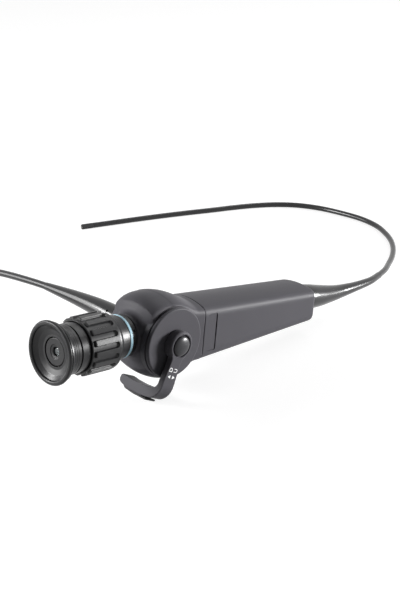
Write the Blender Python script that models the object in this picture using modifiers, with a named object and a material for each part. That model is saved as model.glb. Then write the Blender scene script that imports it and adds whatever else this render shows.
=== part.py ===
"""A portable flexible endoscope with an eyepiece, lying on a table as it is stored.

The scope is modelled about its own axis: +X runs from the eyepiece towards the grip,
-Y is the side with the angulation lever, and the root empty then tips it eyepiece up
and stands it on the pad of its lever. Cords are placed in table coordinates.
Everything is in metres.
"""

import math

import bmesh
import bpy
from mathutils import Matrix, Vector


# Clearances

seat_gap = 0.0003
# Cutters reach this far past the faces that they cut
overcut = 0.0010
running_gap = 0.0001
contact_gap = 0.00005

# Scope posture on the table

pitch_deg = 6.75
lever_rest_deg = 21.0

# Eyepiece, all lengths measured from the scope's origin towards the eye

barrel_radius = 0.0127
barrel_wall = 0.0030
barrel_front_wall = 0.0020
cup_flange = 0.0035
cup_radius = barrel_radius + cup_flange
cup_front = 0.0643
cup_rim_length = 0.0060
cup_groove_place = 0.0020
cup_groove_width = 0.0006
cup_groove_depth = 0.0010
cup_lip = 0.0033
dish_radius = cup_radius - cup_lip
dish_depth = 0.0021
window_radius = 0.0070
window_thickness = 0.0027
pupil_radius = 0.0022
barrel_groove_depth = 0.0007
barrel_groove_width = 0.0008
barrel_groove_place = 0.0536
thread_step = 0.0011
ocular_lens_thickness = 0.0034
lock_ring_length = 0.0014

# Diopter ring

ring_wall = 0.0023
ring_radius = barrel_radius + ring_wall
ring_front = 0.0480
ring_ribs_back = 0.0318
ring_shoulder_back = 0.0272
rib_count = 16
rib_groove_width = 0.0028
rib_groove_depth = 0.0011
ring_mouth_depth = 0.0035
diopter_travel = 0.0015
index_dot_radius = 0.0010

# Collar, blue ring and sleeve

sleeve_radius = barrel_radius - barrel_wall - seat_gap
sleeve_wall = 0.0016
waist_wall = 0.0028
ring_waist_radius = sleeve_radius + waist_wall
blue_ring_wall = 0.0019
blue_ring_radius = sleeve_radius + blue_ring_wall
blue_ring_width = 0.0016
collar_wall = 0.0015
collar_radius = sleeve_radius + collar_wall
collar_back = 0.0164
collar_front = 0.0200
collar_screw_radius = 0.0009
collar_screw_deg = 60.0
sleeve_back = 0.0100
sleeve_front = 0.0460

# Control body

hub_x = 0.0041
hub_z = -0.0030
body_radius = 0.0225
body_roundness = 0.685
body_side = 0.0145
body_wall = 0.0022
neck_wall = 0.0014
neck_radius = sleeve_radius + neck_wall
neck_end = -0.0159
neck_flat = 0.0010
neck_fillet = 0.0042
neck_blend = 0.0020
root_fillet = 0.0060
seam_x = 0.0270
cover_seat_radius = 0.0188
cover_seat_depth = 0.0030
cover_seat_step = 0.0003
cover_opening = 0.0155
far_face = 0.0172
far_radius = 0.0176
port_radius = 0.0042

# Side cover, lever and shaft, distances measured outwards from the scope's middle

cover_radius = 0.0186
cover_face = 0.0170
cover_edge = 0.0020
cover_spigot = 0.0024
hub_radius = 0.0076
hub_face = 0.0221
hub_recess_radius = 0.0060
hub_recess_depth = 0.0009
cap_radius = 0.0052
cap_height = 0.0023
hub_fillet = 0.0030
shaft_radius = 0.0025
shaft_inner_end = 0.0030
bush_wall = 0.0014
seal_length = 0.0012
arm_width = 0.0084
arm_waist_share = 0.84
arm_waist_reach = 0.0110
arm_wide_reach = 0.0190
rest_corner = 0.0016
arm_thickness = 0.0034
rest_inner_reach = 0.0253
rest_outer_reach = 0.0309
elbow_radius = 0.0088
rest_end = 0.0066
pad_thickness = 0.0012
pad_inset = 0.0005

# Angulation mechanism

drum_radius = 0.0072
drum_width = 0.0040
drum_offset = 0.0093
drum_groove_width = 0.0024
wire_radius = 0.0003
wire_offset = 0.0054
frame_offset = 0.0048
frame_thickness = 0.0016
frame_height = 0.0148
block_place = 0.0600
block_length = 0.0092
block_far_side = 0.0080
block_height = 0.0144
sheath_radius = 0.0005
bundle_radius = 0.0010
light_bundle_radius = 0.0010
light_bundle_y = 0.0042
light_bundle_z = -0.0030
ferrule_radius = 0.0030
ferrule_length = 0.0080
holder_length = 0.0026

# Grip

grip_end = 0.1168
grip_wall = 0.0020
grip_end_wall = 0.0036
grip_end_round = 0.0022
grip_top = (0.0128, 0.0061)
grip_bottom = (-0.0199, -0.0147)
grip_side = (0.01475, 0.0134)
grip_crown = (0.442, 0.256)
grip_edge = 0.0030
plate_x = 0.0331
plate_z = -0.0034
plate_width = 0.0068
plate_height = 0.0204
plate_depth = 0.0006

# Insertion boot, tube and bending section

gland_radius = 0.0060
gland_z = -0.0037
gland_bore = 0.0030
tube_radius = 0.00175
link_count = 7
link_pitch = 0.0040
link_gap = 0.00015
link_slack = 0.00006
bend_deg = 130.0
tip_length = 0.0080
objective_radius = 0.0005
light_window_radius = 0.0004
window_depth = 0.0010

# Light guide cable and plug

collar_nut_radius = 0.0070
collar_nut_length = 0.0032
cable_radius = 0.0020
light_boot_radius = 0.0064
coil_mean_radius = 0.0235
coil_width = 0.0164
coil_height = 0.0082
coil_lift = 0.0010
tie_wall = 0.0006
tie_width = 0.0050
plug_radius = 0.0080
plug_length = 0.0340
plug_pin_radius = 0.0030
plug_pin_length = 0.0300
plug_boot_length = 0.0240
vent_radius = 0.0030
vent_length = 0.0060

# Finish of the curves and turned pieces

fine_steps = 28
plain_steps = 16
small_steps = 12
section_points = 28


def clear_scene():
    for old in list(bpy.data.objects):
        bpy.data.objects.remove(old, do_unlink=True)
    for old in list(bpy.data.collections):
        bpy.data.collections.remove(old)


clear_scene()
parts = bpy.data.collections.new("flexible_endoscope")
cutters = bpy.data.collections.new("cutters")
bpy.context.scene.collection.children.link(parts)
bpy.context.scene.collection.children.link(cutters)


# Materials

def material(name, colour, roughness, metallic=0.0, alpha=1.0):
    made = bpy.data.materials.new(name)
    made.use_nodes = True
    shader = made.node_tree.nodes["Principled BSDF"]
    shader.inputs["Base Color"].default_value = (*colour, 1.0)
    shader.inputs["Roughness"].default_value = roughness
    shader.inputs["Metallic"].default_value = metallic
    shader.inputs["Alpha"].default_value = alpha
    return made


eyepiece_black = material("eyepiece_black", (0.020, 0.020, 0.022), 0.38, 0.6)
housing_grey = material("housing_grey", (0.085, 0.083, 0.088), 0.45)
light_blue = material("light_blue", (0.52, 0.80, 0.92), 0.40)
index_white = material("index_white", (0.90, 0.90, 0.90), 0.50)
gloss_black = material("gloss_black", (0.012, 0.012, 0.013), 0.18)
soft_black = material("soft_black", (0.025, 0.025, 0.026), 0.60)
steel = material("steel", (0.60, 0.61, 0.62), 0.28, 1.0)
brass = material("brass", (0.72, 0.55, 0.28), 0.32, 1.0)
bearing_white = material("bearing_white", (0.78, 0.76, 0.70), 0.55)
lens_glass = material("lens_glass", (0.80, 0.88, 0.90), 0.05, 0.0, 0.4)
fibre_grey = material("fibre_grey", (0.35, 0.33, 0.30), 0.55)


# Frames that carry the pieces

def empty(name, parent=None, location=(0.0, 0.0, 0.0), rotation=(0.0, 0.0, 0.0)):
    made = bpy.data.objects.new(name, None)
    made.empty_display_size = 0.01
    made.location = location
    made.rotation_euler = rotation
    made.parent = parent
    parts.objects.link(made)
    return made


def pad_low_point():
    """Depth of the pad's lowest corner below the scope's origin, on the tipped scope."""
    reach = rest_outer_reach + pad_thickness
    half = arm_width / 2 - pad_inset
    lever = math.radians(lever_rest_deg)
    x = hub_x - reach * math.sin(lever) + half * math.cos(lever)
    z = hub_z - reach * math.cos(lever) - half * math.sin(lever)
    pitch = math.radians(pitch_deg)
    return -(-math.sin(pitch) * x + math.cos(pitch) * z)


stand_height = pad_low_point()
stand_shift = (-0.02574, 0.0032)
scope = empty(
    "scope_axis",
    location=(stand_shift[0], stand_shift[1], stand_height),
    rotation=(0.0, math.radians(pitch_deg), 0.0),
)
hub_point = (hub_x, 0.0, hub_z)

# Turned pieces point their own Z this way

to_eye = (0.0, -math.pi / 2, 0.0)
to_grip = (0.0, math.pi / 2, 0.0)
to_lever_side = (math.pi / 2, 0.0, 0.0)
to_far_side = (-math.pi / 2, 0.0, 0.0)


def adopt(obj, finish, parent=scope, location=(0.0, 0.0, 0.0), rotation=(0.0, 0.0, 0.0)):
    obj.data.materials.clear()
    obj.data.materials.append(finish)
    obj.parent = parent
    obj.location = location
    obj.rotation_euler = rotation
    parts.objects.link(obj)
    return obj


def smooth(mesh, angle=0.6):
    mesh.shade_smooth()
    mesh.set_sharp_from_angle(angle=angle)


def profile_mesh(name, profile, closed):
    """Edges of a turned profile: (radius, height) points, down the outer side."""
    mesh = bpy.data.meshes.new(name)
    points = [(radius, 0.0, height) for radius, height in profile]
    edges = [(i, i + 1) for i in range(len(points) - 1)]
    if closed:
        edges.append((len(points) - 1, 0))
    mesh.from_pydata(points, edges, [])
    return mesh


def turned(name, profile, finish, rotation, steps=plain_steps, location=(0.0, 0.0, 0.0),
           parent=scope, closed=True):
    """A piece turned about its own Z; a closed profile is a ring, an open one is solid."""
    obj = bpy.data.objects.new(name, profile_mesh(name, profile, closed))
    adopt(obj, finish, parent, location, rotation)
    screw = obj.modifiers.new("turn", "SCREW")
    screw.axis = "Z"
    screw.angle = math.tau
    screw.steps = steps
    screw.render_steps = steps
    screw.use_merge_vertices = True
    screw.merge_threshold = 0.00001
    screw.use_smooth_shade = True
    return obj


def ring(name, outer, inner, back, front, finish, rotation, **place):
    """A plain ring between two heights on its axis."""
    profile = [(inner, front), (outer, front), (outer, back), (inner, back)]
    return turned(name, profile, finish, rotation, **place)


def rod(name, radius, back, front, finish, rotation, chamfer=0.0, **place):
    """A solid round bar between two heights, with chamfered ends."""
    profile = [(0.0, front), (radius - chamfer, front), (radius, front - chamfer),
               (radius, back + chamfer), (radius - chamfer, back), (0.0, back)]
    if chamfer == 0.0:
        profile = [(0.0, front), (radius, front), (radius, back), (0.0, back)]
    return turned(name, profile, finish, rotation, closed=False, **place)


def link_cutter(obj):
    parts.objects.unlink(obj)
    cutters.objects.link(obj)
    obj.hide_render = True
    obj.display_type = "WIRE"
    return obj


def block(name, low, high, finish, parent=scope, location=(0.0, 0.0, 0.0),
          rotation=(0.0, 0.0, 0.0)):
    """A box between two corners."""
    mesh = bpy.data.meshes.new(name)
    shape = bmesh.new()
    bmesh.ops.create_cube(shape, size=1.0)
    size = Vector(high) - Vector(low)
    middle = (Vector(high) + Vector(low)) / 2
    bmesh.ops.scale(shape, vec=size, verts=shape.verts)
    bmesh.ops.translate(shape, vec=middle, verts=shape.verts)
    shape.to_mesh(mesh)
    shape.free()
    return adopt(bpy.data.objects.new(name, mesh), finish, parent, location, rotation)


def loft(name, rings, finish, parent=scope):
    """A closed skin through rings of equally many points, capped at both ends."""
    mesh = bpy.data.meshes.new(name)
    shape = bmesh.new()
    rows = [[shape.verts.new(point) for point in ring_points] for ring_points in rings]
    count = len(rows[0])
    for near, far in zip(rows, rows[1:]):
        for k in range(count):
            after = (k + 1) % count
            shape.faces.new((near[k], near[after], far[after], far[k]))
    shape.faces.new(list(reversed(rows[0])))
    shape.faces.new(rows[-1])
    bmesh.ops.recalc_face_normals(shape, faces=shape.faces)
    shape.to_mesh(mesh)
    shape.free()
    smooth(mesh)
    return adopt(bpy.data.objects.new(name, mesh), finish, parent)


def cut(obj, cutter, operation="DIFFERENCE"):
    step = obj.modifiers.new(operation.lower(), "BOOLEAN")
    step.operation = operation
    step.solver = "EXACT"
    step.object = link_cutter(cutter)
    return step


def arc(centre, radius, start_deg, end_deg, steps):
    """Points along an arc of a plane outline, ends included."""
    points = []
    for i in range(steps + 1):
        angle = math.radians(start_deg + (end_deg - start_deg) * i / steps)
        points.append((centre[0] + radius * math.cos(angle), centre[1] + radius * math.sin(angle)))
    return points


def plate(name, outlines, thickness, finish, parent, location, rotation):
    """A flat outline in its own XY plane, with any holes as further outlines."""
    curve = bpy.data.curves.new(name, "CURVE")
    curve.dimensions = "2D"
    curve.fill_mode = "BOTH"
    curve.extrude = thickness / 2
    for outline in outlines:
        spline = curve.splines.new("POLY")
        spline.points.add(len(outline) - 1)
        for point, (x, y) in zip(spline.points, outline):
            point.co = (x, y, 0.0, 1.0)
        spline.use_cyclic_u = True
    return adopt(bpy.data.objects.new(name, curve), finish, parent, location, rotation)


def as_mesh(obj):
    """The curve object as a welded mesh, so that it can be cut or can cut."""
    bpy.context.view_layer.update()
    scene_graph = bpy.context.evaluated_depsgraph_get()
    mesh = bpy.data.meshes.new_from_object(obj.evaluated_get(scene_graph))
    shape = bmesh.new()
    shape.from_mesh(mesh)
    bmesh.ops.remove_doubles(shape, verts=shape.verts, dist=0.000001)
    bmesh.ops.recalc_face_normals(shape, faces=shape.faces)
    shape.to_mesh(mesh)
    shape.free()
    name = obj.name
    solid = bpy.data.objects.new(name + "_solid", mesh)
    parts.objects.link(solid)
    solid.parent = obj.parent
    solid.matrix_basis = obj.matrix_basis.copy()
    bpy.data.objects.remove(obj, do_unlink=True)
    solid.name = name
    smooth(mesh)
    return solid


def smooth_route(points, count):
    """Evenly spread points on a smooth curve through the chosen ones."""
    knots = [Vector(point) for point in points]
    knots = [2 * knots[0] - knots[1]] + knots + [2 * knots[-1] - knots[-2]]
    fine = []
    for before, start, end, after in zip(knots, knots[1:], knots[2:], knots[3:]):
        for i in range(12):
            t = i / 12
            fine.append(0.5 * (2 * start + (end - before) * t
                               + (2 * before - 5 * start + 4 * end - after) * t * t
                               + (3 * start - before - 3 * end + after) * t ** 3))
    fine.append(knots[-2])
    lengths = [0.0]
    for a, b in zip(fine, fine[1:]):
        lengths.append(lengths[-1] + (b - a).length)
    spread = []
    at = 0
    for i in range(count):
        goal = lengths[-1] * i / (count - 1)
        while at < len(fine) - 2 and lengths[at + 1] < goal:
            at += 1
        share = (goal - lengths[at]) / (lengths[at + 1] - lengths[at])
        spread.append(fine[at].lerp(fine[at + 1], share))
    return spread


def tube(name, points, radii, finish, resolution=2, parent=None):
    """A round tube along points; radii is one radius, or one for each point."""
    curve = bpy.data.curves.new(name, "CURVE")
    curve.dimensions = "3D"
    curve.use_fill_caps = True
    curve.bevel_resolution = resolution
    spline = curve.splines.new("POLY")
    spline.points.add(len(points) - 1)
    widest = radii if isinstance(radii, float) else max(radii)
    curve.bevel_depth = widest
    for i, point in enumerate(points):
        radius = radii if isinstance(radii, float) else radii[i]
        spline.points[i].co = (*point, 1.0)
        spline.points[i].radius = radius / widest
    return adopt(bpy.data.objects.new(name, curve), finish, parent)


def blend_low(a, b, width):
    """The smaller of two sizes, rounded where they cross."""
    share = max(0.0, min(1.0, 0.5 + 0.5 * (b - a) / width))
    return b + (a - b) * share - width * share * (1.0 - share)


def blend_high(a, b, width):
    return -blend_low(-a, -b, width)


# Eyepiece, turned about the scope's axis

barrel_step = ring_front - ring_mouth_depth + diopter_travel + running_gap
barrel_back = ring_ribs_back + 0.0020 + diopter_travel + running_gap
barrel_front = cup_front - cup_rim_length - 0.0014
barrel_bore = barrel_radius - barrel_wall
dish_floor = cup_front - dish_depth
window_back = dish_floor - window_thickness
cup_back = cup_front - cup_rim_length


def make_eyepiece_cup():
    groove_front = cup_front - cup_groove_place
    groove_back = groove_front - cup_groove_width
    groove_floor = cup_radius - cup_groove_depth
    rim = [
        (window_radius + seat_gap, dish_floor),
        (window_radius + 0.0014, dish_floor - 0.0001),
        (dish_radius - 0.0022, dish_floor + 0.0008),
        (dish_radius, cup_front - 0.0003),
        (dish_radius + 0.0010, cup_front),
        (cup_radius - 0.0012, cup_front),
        (cup_radius - 0.0003, cup_front - 0.0008),
        (cup_radius - 0.0002, groove_front),
        (groove_floor, groove_front - 0.0001),
        (groove_floor, groove_back + 0.0001),
        (cup_radius, groove_back),
        (cup_radius, cup_front - 0.0038),
        (cup_radius - 0.0004, cup_front - 0.0045),
        (cup_radius - 0.0016, cup_front - 0.0054),
        (barrel_radius + 0.0005, cup_back),
        (barrel_radius + 0.0001, barrel_front + seat_gap),
        (window_radius - 0.0009, barrel_front + seat_gap),
        (window_radius - 0.0009, window_back - seat_gap),
        (window_radius + seat_gap, window_back - seat_gap),
    ]
    return turned("eyepiece_cup", rim, eyepiece_black, to_eye, steps=fine_steps)


def make_eye_window():
    window_ring = [
        (pupil_radius, dish_floor - 0.0008),
        (pupil_radius + 0.0012, dish_floor - 0.0003),
        (pupil_radius + 0.0014, dish_floor - 0.0006),
        (window_radius - 0.0018, dish_floor - 0.0006),
        (window_radius - 0.0016, dish_floor - 0.0002),
        (window_radius, dish_floor - 0.0002),
        (window_radius, window_back),
        (pupil_radius, window_back),
    ]
    turned("eye_window_ring", window_ring, eyepiece_black, to_eye)
    rod("eye_window_glass", pupil_radius - seat_gap, window_back, dish_floor - 0.0012, lens_glass, to_eye)


def make_barrel():
    groove = barrel_groove_place
    half = barrel_groove_width / 2
    floor = barrel_radius - barrel_groove_depth
    thread = barrel_radius - thread_step
    barrel = [
        (window_radius + 0.0012, barrel_front),
        (barrel_radius - 0.0002, barrel_front),
        (barrel_radius, barrel_front - 0.0002),
        (barrel_radius, groove + half),
        (floor, groove + half),
        (floor, groove - half),
        (barrel_radius, groove - half),
        (barrel_radius, barrel_step),
        (thread, barrel_step),
        (thread, barrel_back),
        (barrel_bore, barrel_back),
        (barrel_bore, barrel_front - barrel_front_wall),
        (window_radius + 0.0012, barrel_front - barrel_front_wall),
    ]
    return turned("eyepiece_barrel", barrel, eyepiece_black, to_eye, steps=fine_steps)


lens_front = barrel_front - barrel_front_wall - seat_gap
lens_back = lens_front - ocular_lens_thickness


def make_ocular():
    rim = barrel_bore - seat_gap
    middle = (lens_front + lens_back) / 2
    lens = [
        (0.0, lens_front),
        (rim * 0.6, lens_front - 0.0004),
        (rim, middle + 0.0006),
        (rim, middle - 0.0006),
        (rim * 0.6, lens_back + 0.0004),
        (0.0, lens_back),
    ]
    turned("ocular_lens", lens, lens_glass, to_eye, closed=False)
    ring("ocular_lock_ring", rim, rim - 0.0016, lens_back - lock_ring_length, lens_back - contact_gap,
         eyepiece_black, to_eye)


def make_diopter_ring():
    mouth = barrel_radius + running_gap + 0.0001
    thread = barrel_radius - thread_step + running_gap + 0.0001
    bore = sleeve_radius + running_gap
    floor = ring_radius - rib_groove_depth
    back = collar_front + 2 * seat_gap + blue_ring_width + seat_gap
    profile = [
        (mouth, ring_front),
        (floor - 0.0002, ring_front),
        (floor, ring_front - 0.0003),
        (floor, ring_front - 0.0013),
        (ring_radius - 0.0002, ring_front - 0.0015),
        (ring_radius, ring_front - 0.0018),
        (ring_radius, ring_ribs_back - 0.0018),
        (ring_radius - 0.0006, ring_ribs_back - 0.0029),
        (ring_waist_radius + 0.0003, ring_shoulder_back + 0.0002),
        (ring_waist_radius, ring_shoulder_back - 0.0004),
        (blue_ring_radius + 0.0001, back),
        (bore, back),
        (bore, barrel_back - diopter_travel - running_gap),
        (thread, barrel_back - diopter_travel - running_gap),
        (thread, barrel_step - diopter_travel - running_gap),
        (mouth, barrel_step - diopter_travel - running_gap),
    ]
    body = turned("diopter_ring", profile, eyepiece_black, to_eye, steps=fine_steps)
    half = rib_groove_width / 2
    blade = bpy.data.meshes.new("rib_grooves")
    shape = bmesh.new()
    for i in range(rib_count):
        box = bmesh.ops.create_cube(shape, size=1.0)["verts"]
        length = ring_front - ring_ribs_back
        bmesh.ops.scale(shape, vec=(2 * rib_groove_depth, 2 * half, length), verts=box)
        middle = (ring_front + ring_ribs_back) / 2 + 0.0001
        bmesh.ops.translate(shape, vec=(ring_radius, 0.0, middle), verts=box)
        turn = Matrix.Rotation(math.tau * (i + 0.5) / rib_count, 4, "Z")
        bmesh.ops.rotate(shape, cent=(0.0, 0.0, 0.0), matrix=turn, verts=box)
    shape.to_mesh(blade)
    shape.free()
    grooves = adopt(bpy.data.objects.new("rib_grooves", blade), eyepiece_black, scope, rotation=to_eye)
    cut(body, grooves)
    dot_place = ring_ribs_back - 0.0009
    pocket = rod("dot_pocket", index_dot_radius + 0.0001, ring_radius - 0.0005, ring_radius + overcut,
                 index_white, (0.0, 0.0, 0.0), steps=small_steps, location=(-dot_place, 0.0, 0.0))
    cut(body, pocket)
    rod("index_dot", index_dot_radius, ring_radius - 0.0004, ring_radius + 0.0001, index_white,
        (0.0, 0.0, 0.0), steps=small_steps, location=(-dot_place, 0.0, 0.0))
    return body


def make_collar():
    collar = ring("eyepiece_collar", collar_radius, sleeve_radius + running_gap, collar_back, collar_front,
                  eyepiece_black, to_eye, steps=fine_steps)
    middle = (collar_back + collar_front) / 2
    to_screw = (math.radians(collar_screw_deg), 0.0, 0.0)
    hole = rod("collar_screw_hole", collar_screw_radius, sleeve_radius - overcut, collar_radius + overcut,
               steel, to_screw, steps=small_steps, location=(-middle, 0.0, 0.0))
    cut(collar, hole)
    rod("collar_set_screw", collar_screw_radius - 0.0002, sleeve_radius + running_gap + 0.0001,
        collar_radius - 0.0005, steel, to_screw, steps=small_steps, location=(-middle, 0.0, 0.0))
    blue_back = collar_front + seat_gap
    ring("blue_ring", blue_ring_radius, sleeve_radius + running_gap, blue_back, blue_back + blue_ring_width,
         light_blue, to_eye, steps=fine_steps)
    ring("ocular_sleeve", sleeve_radius, sleeve_radius - sleeve_wall, sleeve_back, sleeve_front,
         steel, to_eye)


def make_image_bundle():
    holder_back = sleeve_back + 0.0030
    ring("ferrule_holder", sleeve_radius - sleeve_wall - seat_gap, ferrule_radius + seat_gap,
         holder_back, holder_back + holder_length, brass, to_eye)
    ring("bundle_ferrule", ferrule_radius, bundle_radius + running_gap, holder_back - 0.0020,
         holder_back - 0.0020 + ferrule_length, steel, to_eye, steps=small_steps)
    route = [
        (-(holder_back - 0.0022 + ferrule_length), 0.0, 0.0),
        (0.0200, 0.0, 0.0),
        (block_place, 0.0, 0.0),
        (block_place + block_length + 0.0040, 0.0, -0.0001),
        (grip_end - 0.0280, -0.0004, -0.0012),
        (grip_end - 0.0140, -0.0010, gland_z + 0.0005),
        (grip_end - grip_end_wall, -0.0012, gland_z),
        (grip_end - seat_gap, -0.0012, gland_z),
    ]
    tube("image_bundle", smooth_route(route, 16), bundle_radius, fibre_grey, parent=scope)


# Control body and grip share one family of sections

def grip_share(x):
    return (x - seam_x) / (grip_end - seam_x)


def lerp(pair, share):
    return pair[0] + (pair[1] - pair[0]) * share


def crown_radius(half, flatness, angle):
    """A crowned section: half its height, and how flat its top is across."""
    return half / math.sqrt(math.sin(angle) ** 2 + flatness * math.cos(angle) ** 2)


def grip_crown_at(x, angle):
    share = grip_share(x)
    half = (lerp(grip_top, share) - lerp(grip_bottom, share)) / 2
    return crown_radius(half, lerp(grip_crown, share), angle)


def side_limit(side, angle):
    return side / max(abs(math.cos(angle)), 0.001)


def grip_radius(x, angle):
    """Distance from the section's middle to the crowned, flat-sided grip skin."""
    side = side_limit(lerp(grip_side, grip_share(x)), angle)
    return blend_low(grip_crown_at(x, angle), side, grip_edge)


def body_radius_at(x, angle):
    """Distance from the section's middle to the round body, its neck or the grip's root."""
    left = math.sqrt(max(body_radius ** 2 - (x - hub_x) ** 2, 0.0))
    puck = crown_radius(left, body_roundness, angle)
    if x > hub_x:
        share = (x - hub_x) / (seam_x - hub_x)
        skin = body_side - cover_seat_step
        side = side_limit(skin + (grip_side[0] - skin) * share, angle)
        whole = blend_high(puck, grip_crown_at(x, angle), root_fillet)
        return blend_low(whole, side, grip_edge)
    puck = blend_low(puck, side_limit(body_side - cover_seat_step, angle), grip_edge)
    along = (x - neck_end - neck_flat) / neck_fillet
    if along <= 0.0:
        return neck_radius
    rise = neck_radius + neck_fillet * (1.0 - math.sqrt(max(0.0, 1.0 - along ** 2)))
    if along >= 1.0:
        rise = neck_radius + neck_fillet + (along - 1.0) * 8 * neck_fillet
    return blend_high(neck_radius, blend_low(puck, rise, neck_blend), neck_blend / 2)


def section_height(x):
    """Height of the section's middle: the neck's axis, then the body's, then the grip's."""
    share = max(0.0, min(1.0, (x - neck_end) / (hub_x - neck_end)))
    body = hub_z * share * share * (3 - 2 * share)
    if x < hub_x:
        return body
    middle = (lerp(grip_top, grip_share(x)) + lerp(grip_bottom, grip_share(x))) / 2
    share = min(1.0, (x - hub_x) / (seam_x - hub_x))
    return hub_z + (middle - hub_z) * share


def section(x, radius_at, inset=0.0):
    points = []
    for k in range(section_points):
        angle = math.tau * (k + 0.5) / section_points
        reach = radius_at(x, angle) - inset
        points.append((x, reach * math.cos(angle), section_height(x) + reach * math.sin(angle)))
    return points


def make_control_body():
    stations = [neck_end, neck_end + neck_flat, neck_end + neck_flat + 0.5 * neck_fillet,
                neck_end + neck_flat + 0.8 * neck_fillet, neck_end + neck_flat + 0.97 * neck_fillet]
    first = neck_end + neck_flat + 1.1 * neck_fillet
    bulge = [first + (seam_x - first) * i / 12 for i in range(13)]
    outer = loft("control_body", [section(x, body_radius_at) for x in stations + bulge], housing_grey)
    seat_back = body_side - cover_seat_depth
    near_seat = rod("cover_seat", cover_seat_radius, seat_back, body_side, housing_grey, to_lever_side,
                    steps=fine_steps, location=hub_point)
    cut(outer, near_seat, "UNION")
    dome = [
        (0.0, far_face),
        (far_radius - 0.0042, far_face),
        (far_radius - 0.0018, far_face - 0.0005),
        (far_radius - 0.0004, far_face - 0.0017),
        (far_radius, body_side - 0.0006),
        (far_radius, seat_back),
        (0.0, seat_back),
    ]
    far_seat = turned("far_dome", dome, housing_grey, to_far_side, steps=fine_steps, location=hub_point,
                      closed=False)
    cut(outer, far_seat, "UNION")
    inner_first = neck_end + neck_flat + neck_fillet + body_wall
    cavity = [inner_first + (seam_x + 0.0010 - inner_first) * i / 11 for i in range(12)]
    hollow = loft("body_hollow", [section(x, body_radius_at, body_wall) for x in cavity], housing_grey)
    cut(outer, hollow)
    bore = rod("neck_bore", sleeve_radius + running_gap, -inner_first - 0.0020, -neck_end + overcut,
               housing_grey, to_eye)
    cut(outer, bore)
    opening = rod("cover_opening", cover_opening, 0.0060, body_side + overcut, housing_grey,
                  to_lever_side, location=hub_point)
    cut(outer, opening)
    port = rod("light_port", port_radius, 0.0080, far_face + overcut, housing_grey, to_far_side,
               steps=plain_steps, location=hub_point)
    cut(outer, port)
    return outer


def make_grip():
    first = seam_x + seat_gap
    straight = grip_end - grip_end_round
    rings = [section(first + (straight - first) * i / 4, grip_radius) for i in range(5)]
    for turn_deg in (30, 60, 90):
        angle = math.radians(turn_deg)
        x = straight + grip_end_round * math.sin(angle)
        rings.append(section(x, grip_radius, grip_end_round * (1 - math.cos(angle))))
    outer = loft("grip_housing", rings, housing_grey)
    inner_end = grip_end - grip_end_wall
    hollow_x = [first - overcut + (inner_end - first + overcut) * i / 4 for i in range(5)]
    hollow = loft("grip_hollow", [section(x, grip_radius, grip_wall) for x in hollow_x], housing_grey)
    cut(outer, hollow)
    hole = rod("gland_hole", gland_radius + seat_gap, inner_end - overcut, grip_end + overcut, housing_grey,
               to_grip, location=(0.0, 0.0, gland_z))
    cut(outer, hole)
    face = lerp(grip_side, grip_share(plate_x))
    pocket = block("plate_pocket", (-plate_width / 2, -plate_height / 2, 0.0),
                   (plate_width / 2, plate_height / 2, 0.0020), housing_grey, scope,
                   (plate_x, -(face - plate_depth), plate_z), to_lever_side)
    cut(outer, pocket)
    inset = 0.0002
    block("name_plate", (-plate_width / 2 + inset, -plate_height / 2 + inset, 0.0001),
          (plate_width / 2 - inset, plate_height / 2 - inset, plate_depth - 0.0001), housing_grey,
          scope, (plate_x, -(face - plate_depth), plate_z), to_lever_side)
    return outer


def make_gland():
    ring("insertion_gland", gland_radius, gland_bore, grip_end - grip_end_wall - 0.0002,
         grip_end, eyepiece_black, to_grip, location=(0.0, 0.0, gland_z))


# Side cover, lever and its shaft

def make_side_cover():
    seat = body_side + seat_gap
    bore = shaft_radius + running_gap + bush_wall + seat_gap
    inner = seat - cover_spigot
    profile = [(bore, cover_face), (cover_radius - cover_edge, cover_face)]
    profile += [(cover_radius - cover_edge * (1 - math.sin(a)), cover_face - cover_edge * (1 - math.cos(a)))
                for a in (math.radians(30), math.radians(60), math.radians(90))]
    profile += [
        (cover_radius, seat + 0.0002),
        (cover_radius - 0.0008, seat),
        (cover_opening - seat_gap, seat),
        (cover_opening - seat_gap, inner),
        (cover_opening - seat_gap - 0.0022, inner),
        (cover_opening - seat_gap - 0.0022, cover_face - 0.0020),
        (bore + 0.0016, cover_face - 0.0020),
        (bore + 0.0016, inner),
        (bore, inner),
    ]
    turned("side_cover", profile, housing_grey, to_lever_side, steps=fine_steps, location=hub_point)
    bush_outer = shaft_radius + running_gap + bush_wall
    ring("cover_bush", bush_outer, shaft_radius + running_gap, inner, cover_face - seal_length - 0.0006,
         bearing_white, to_lever_side, location=hub_point)
    ring("shaft_seal", bush_outer, shaft_radius + running_gap, cover_face - seal_length - 0.0003,
         cover_face - 0.0003, soft_black, to_lever_side, location=hub_point)


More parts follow.
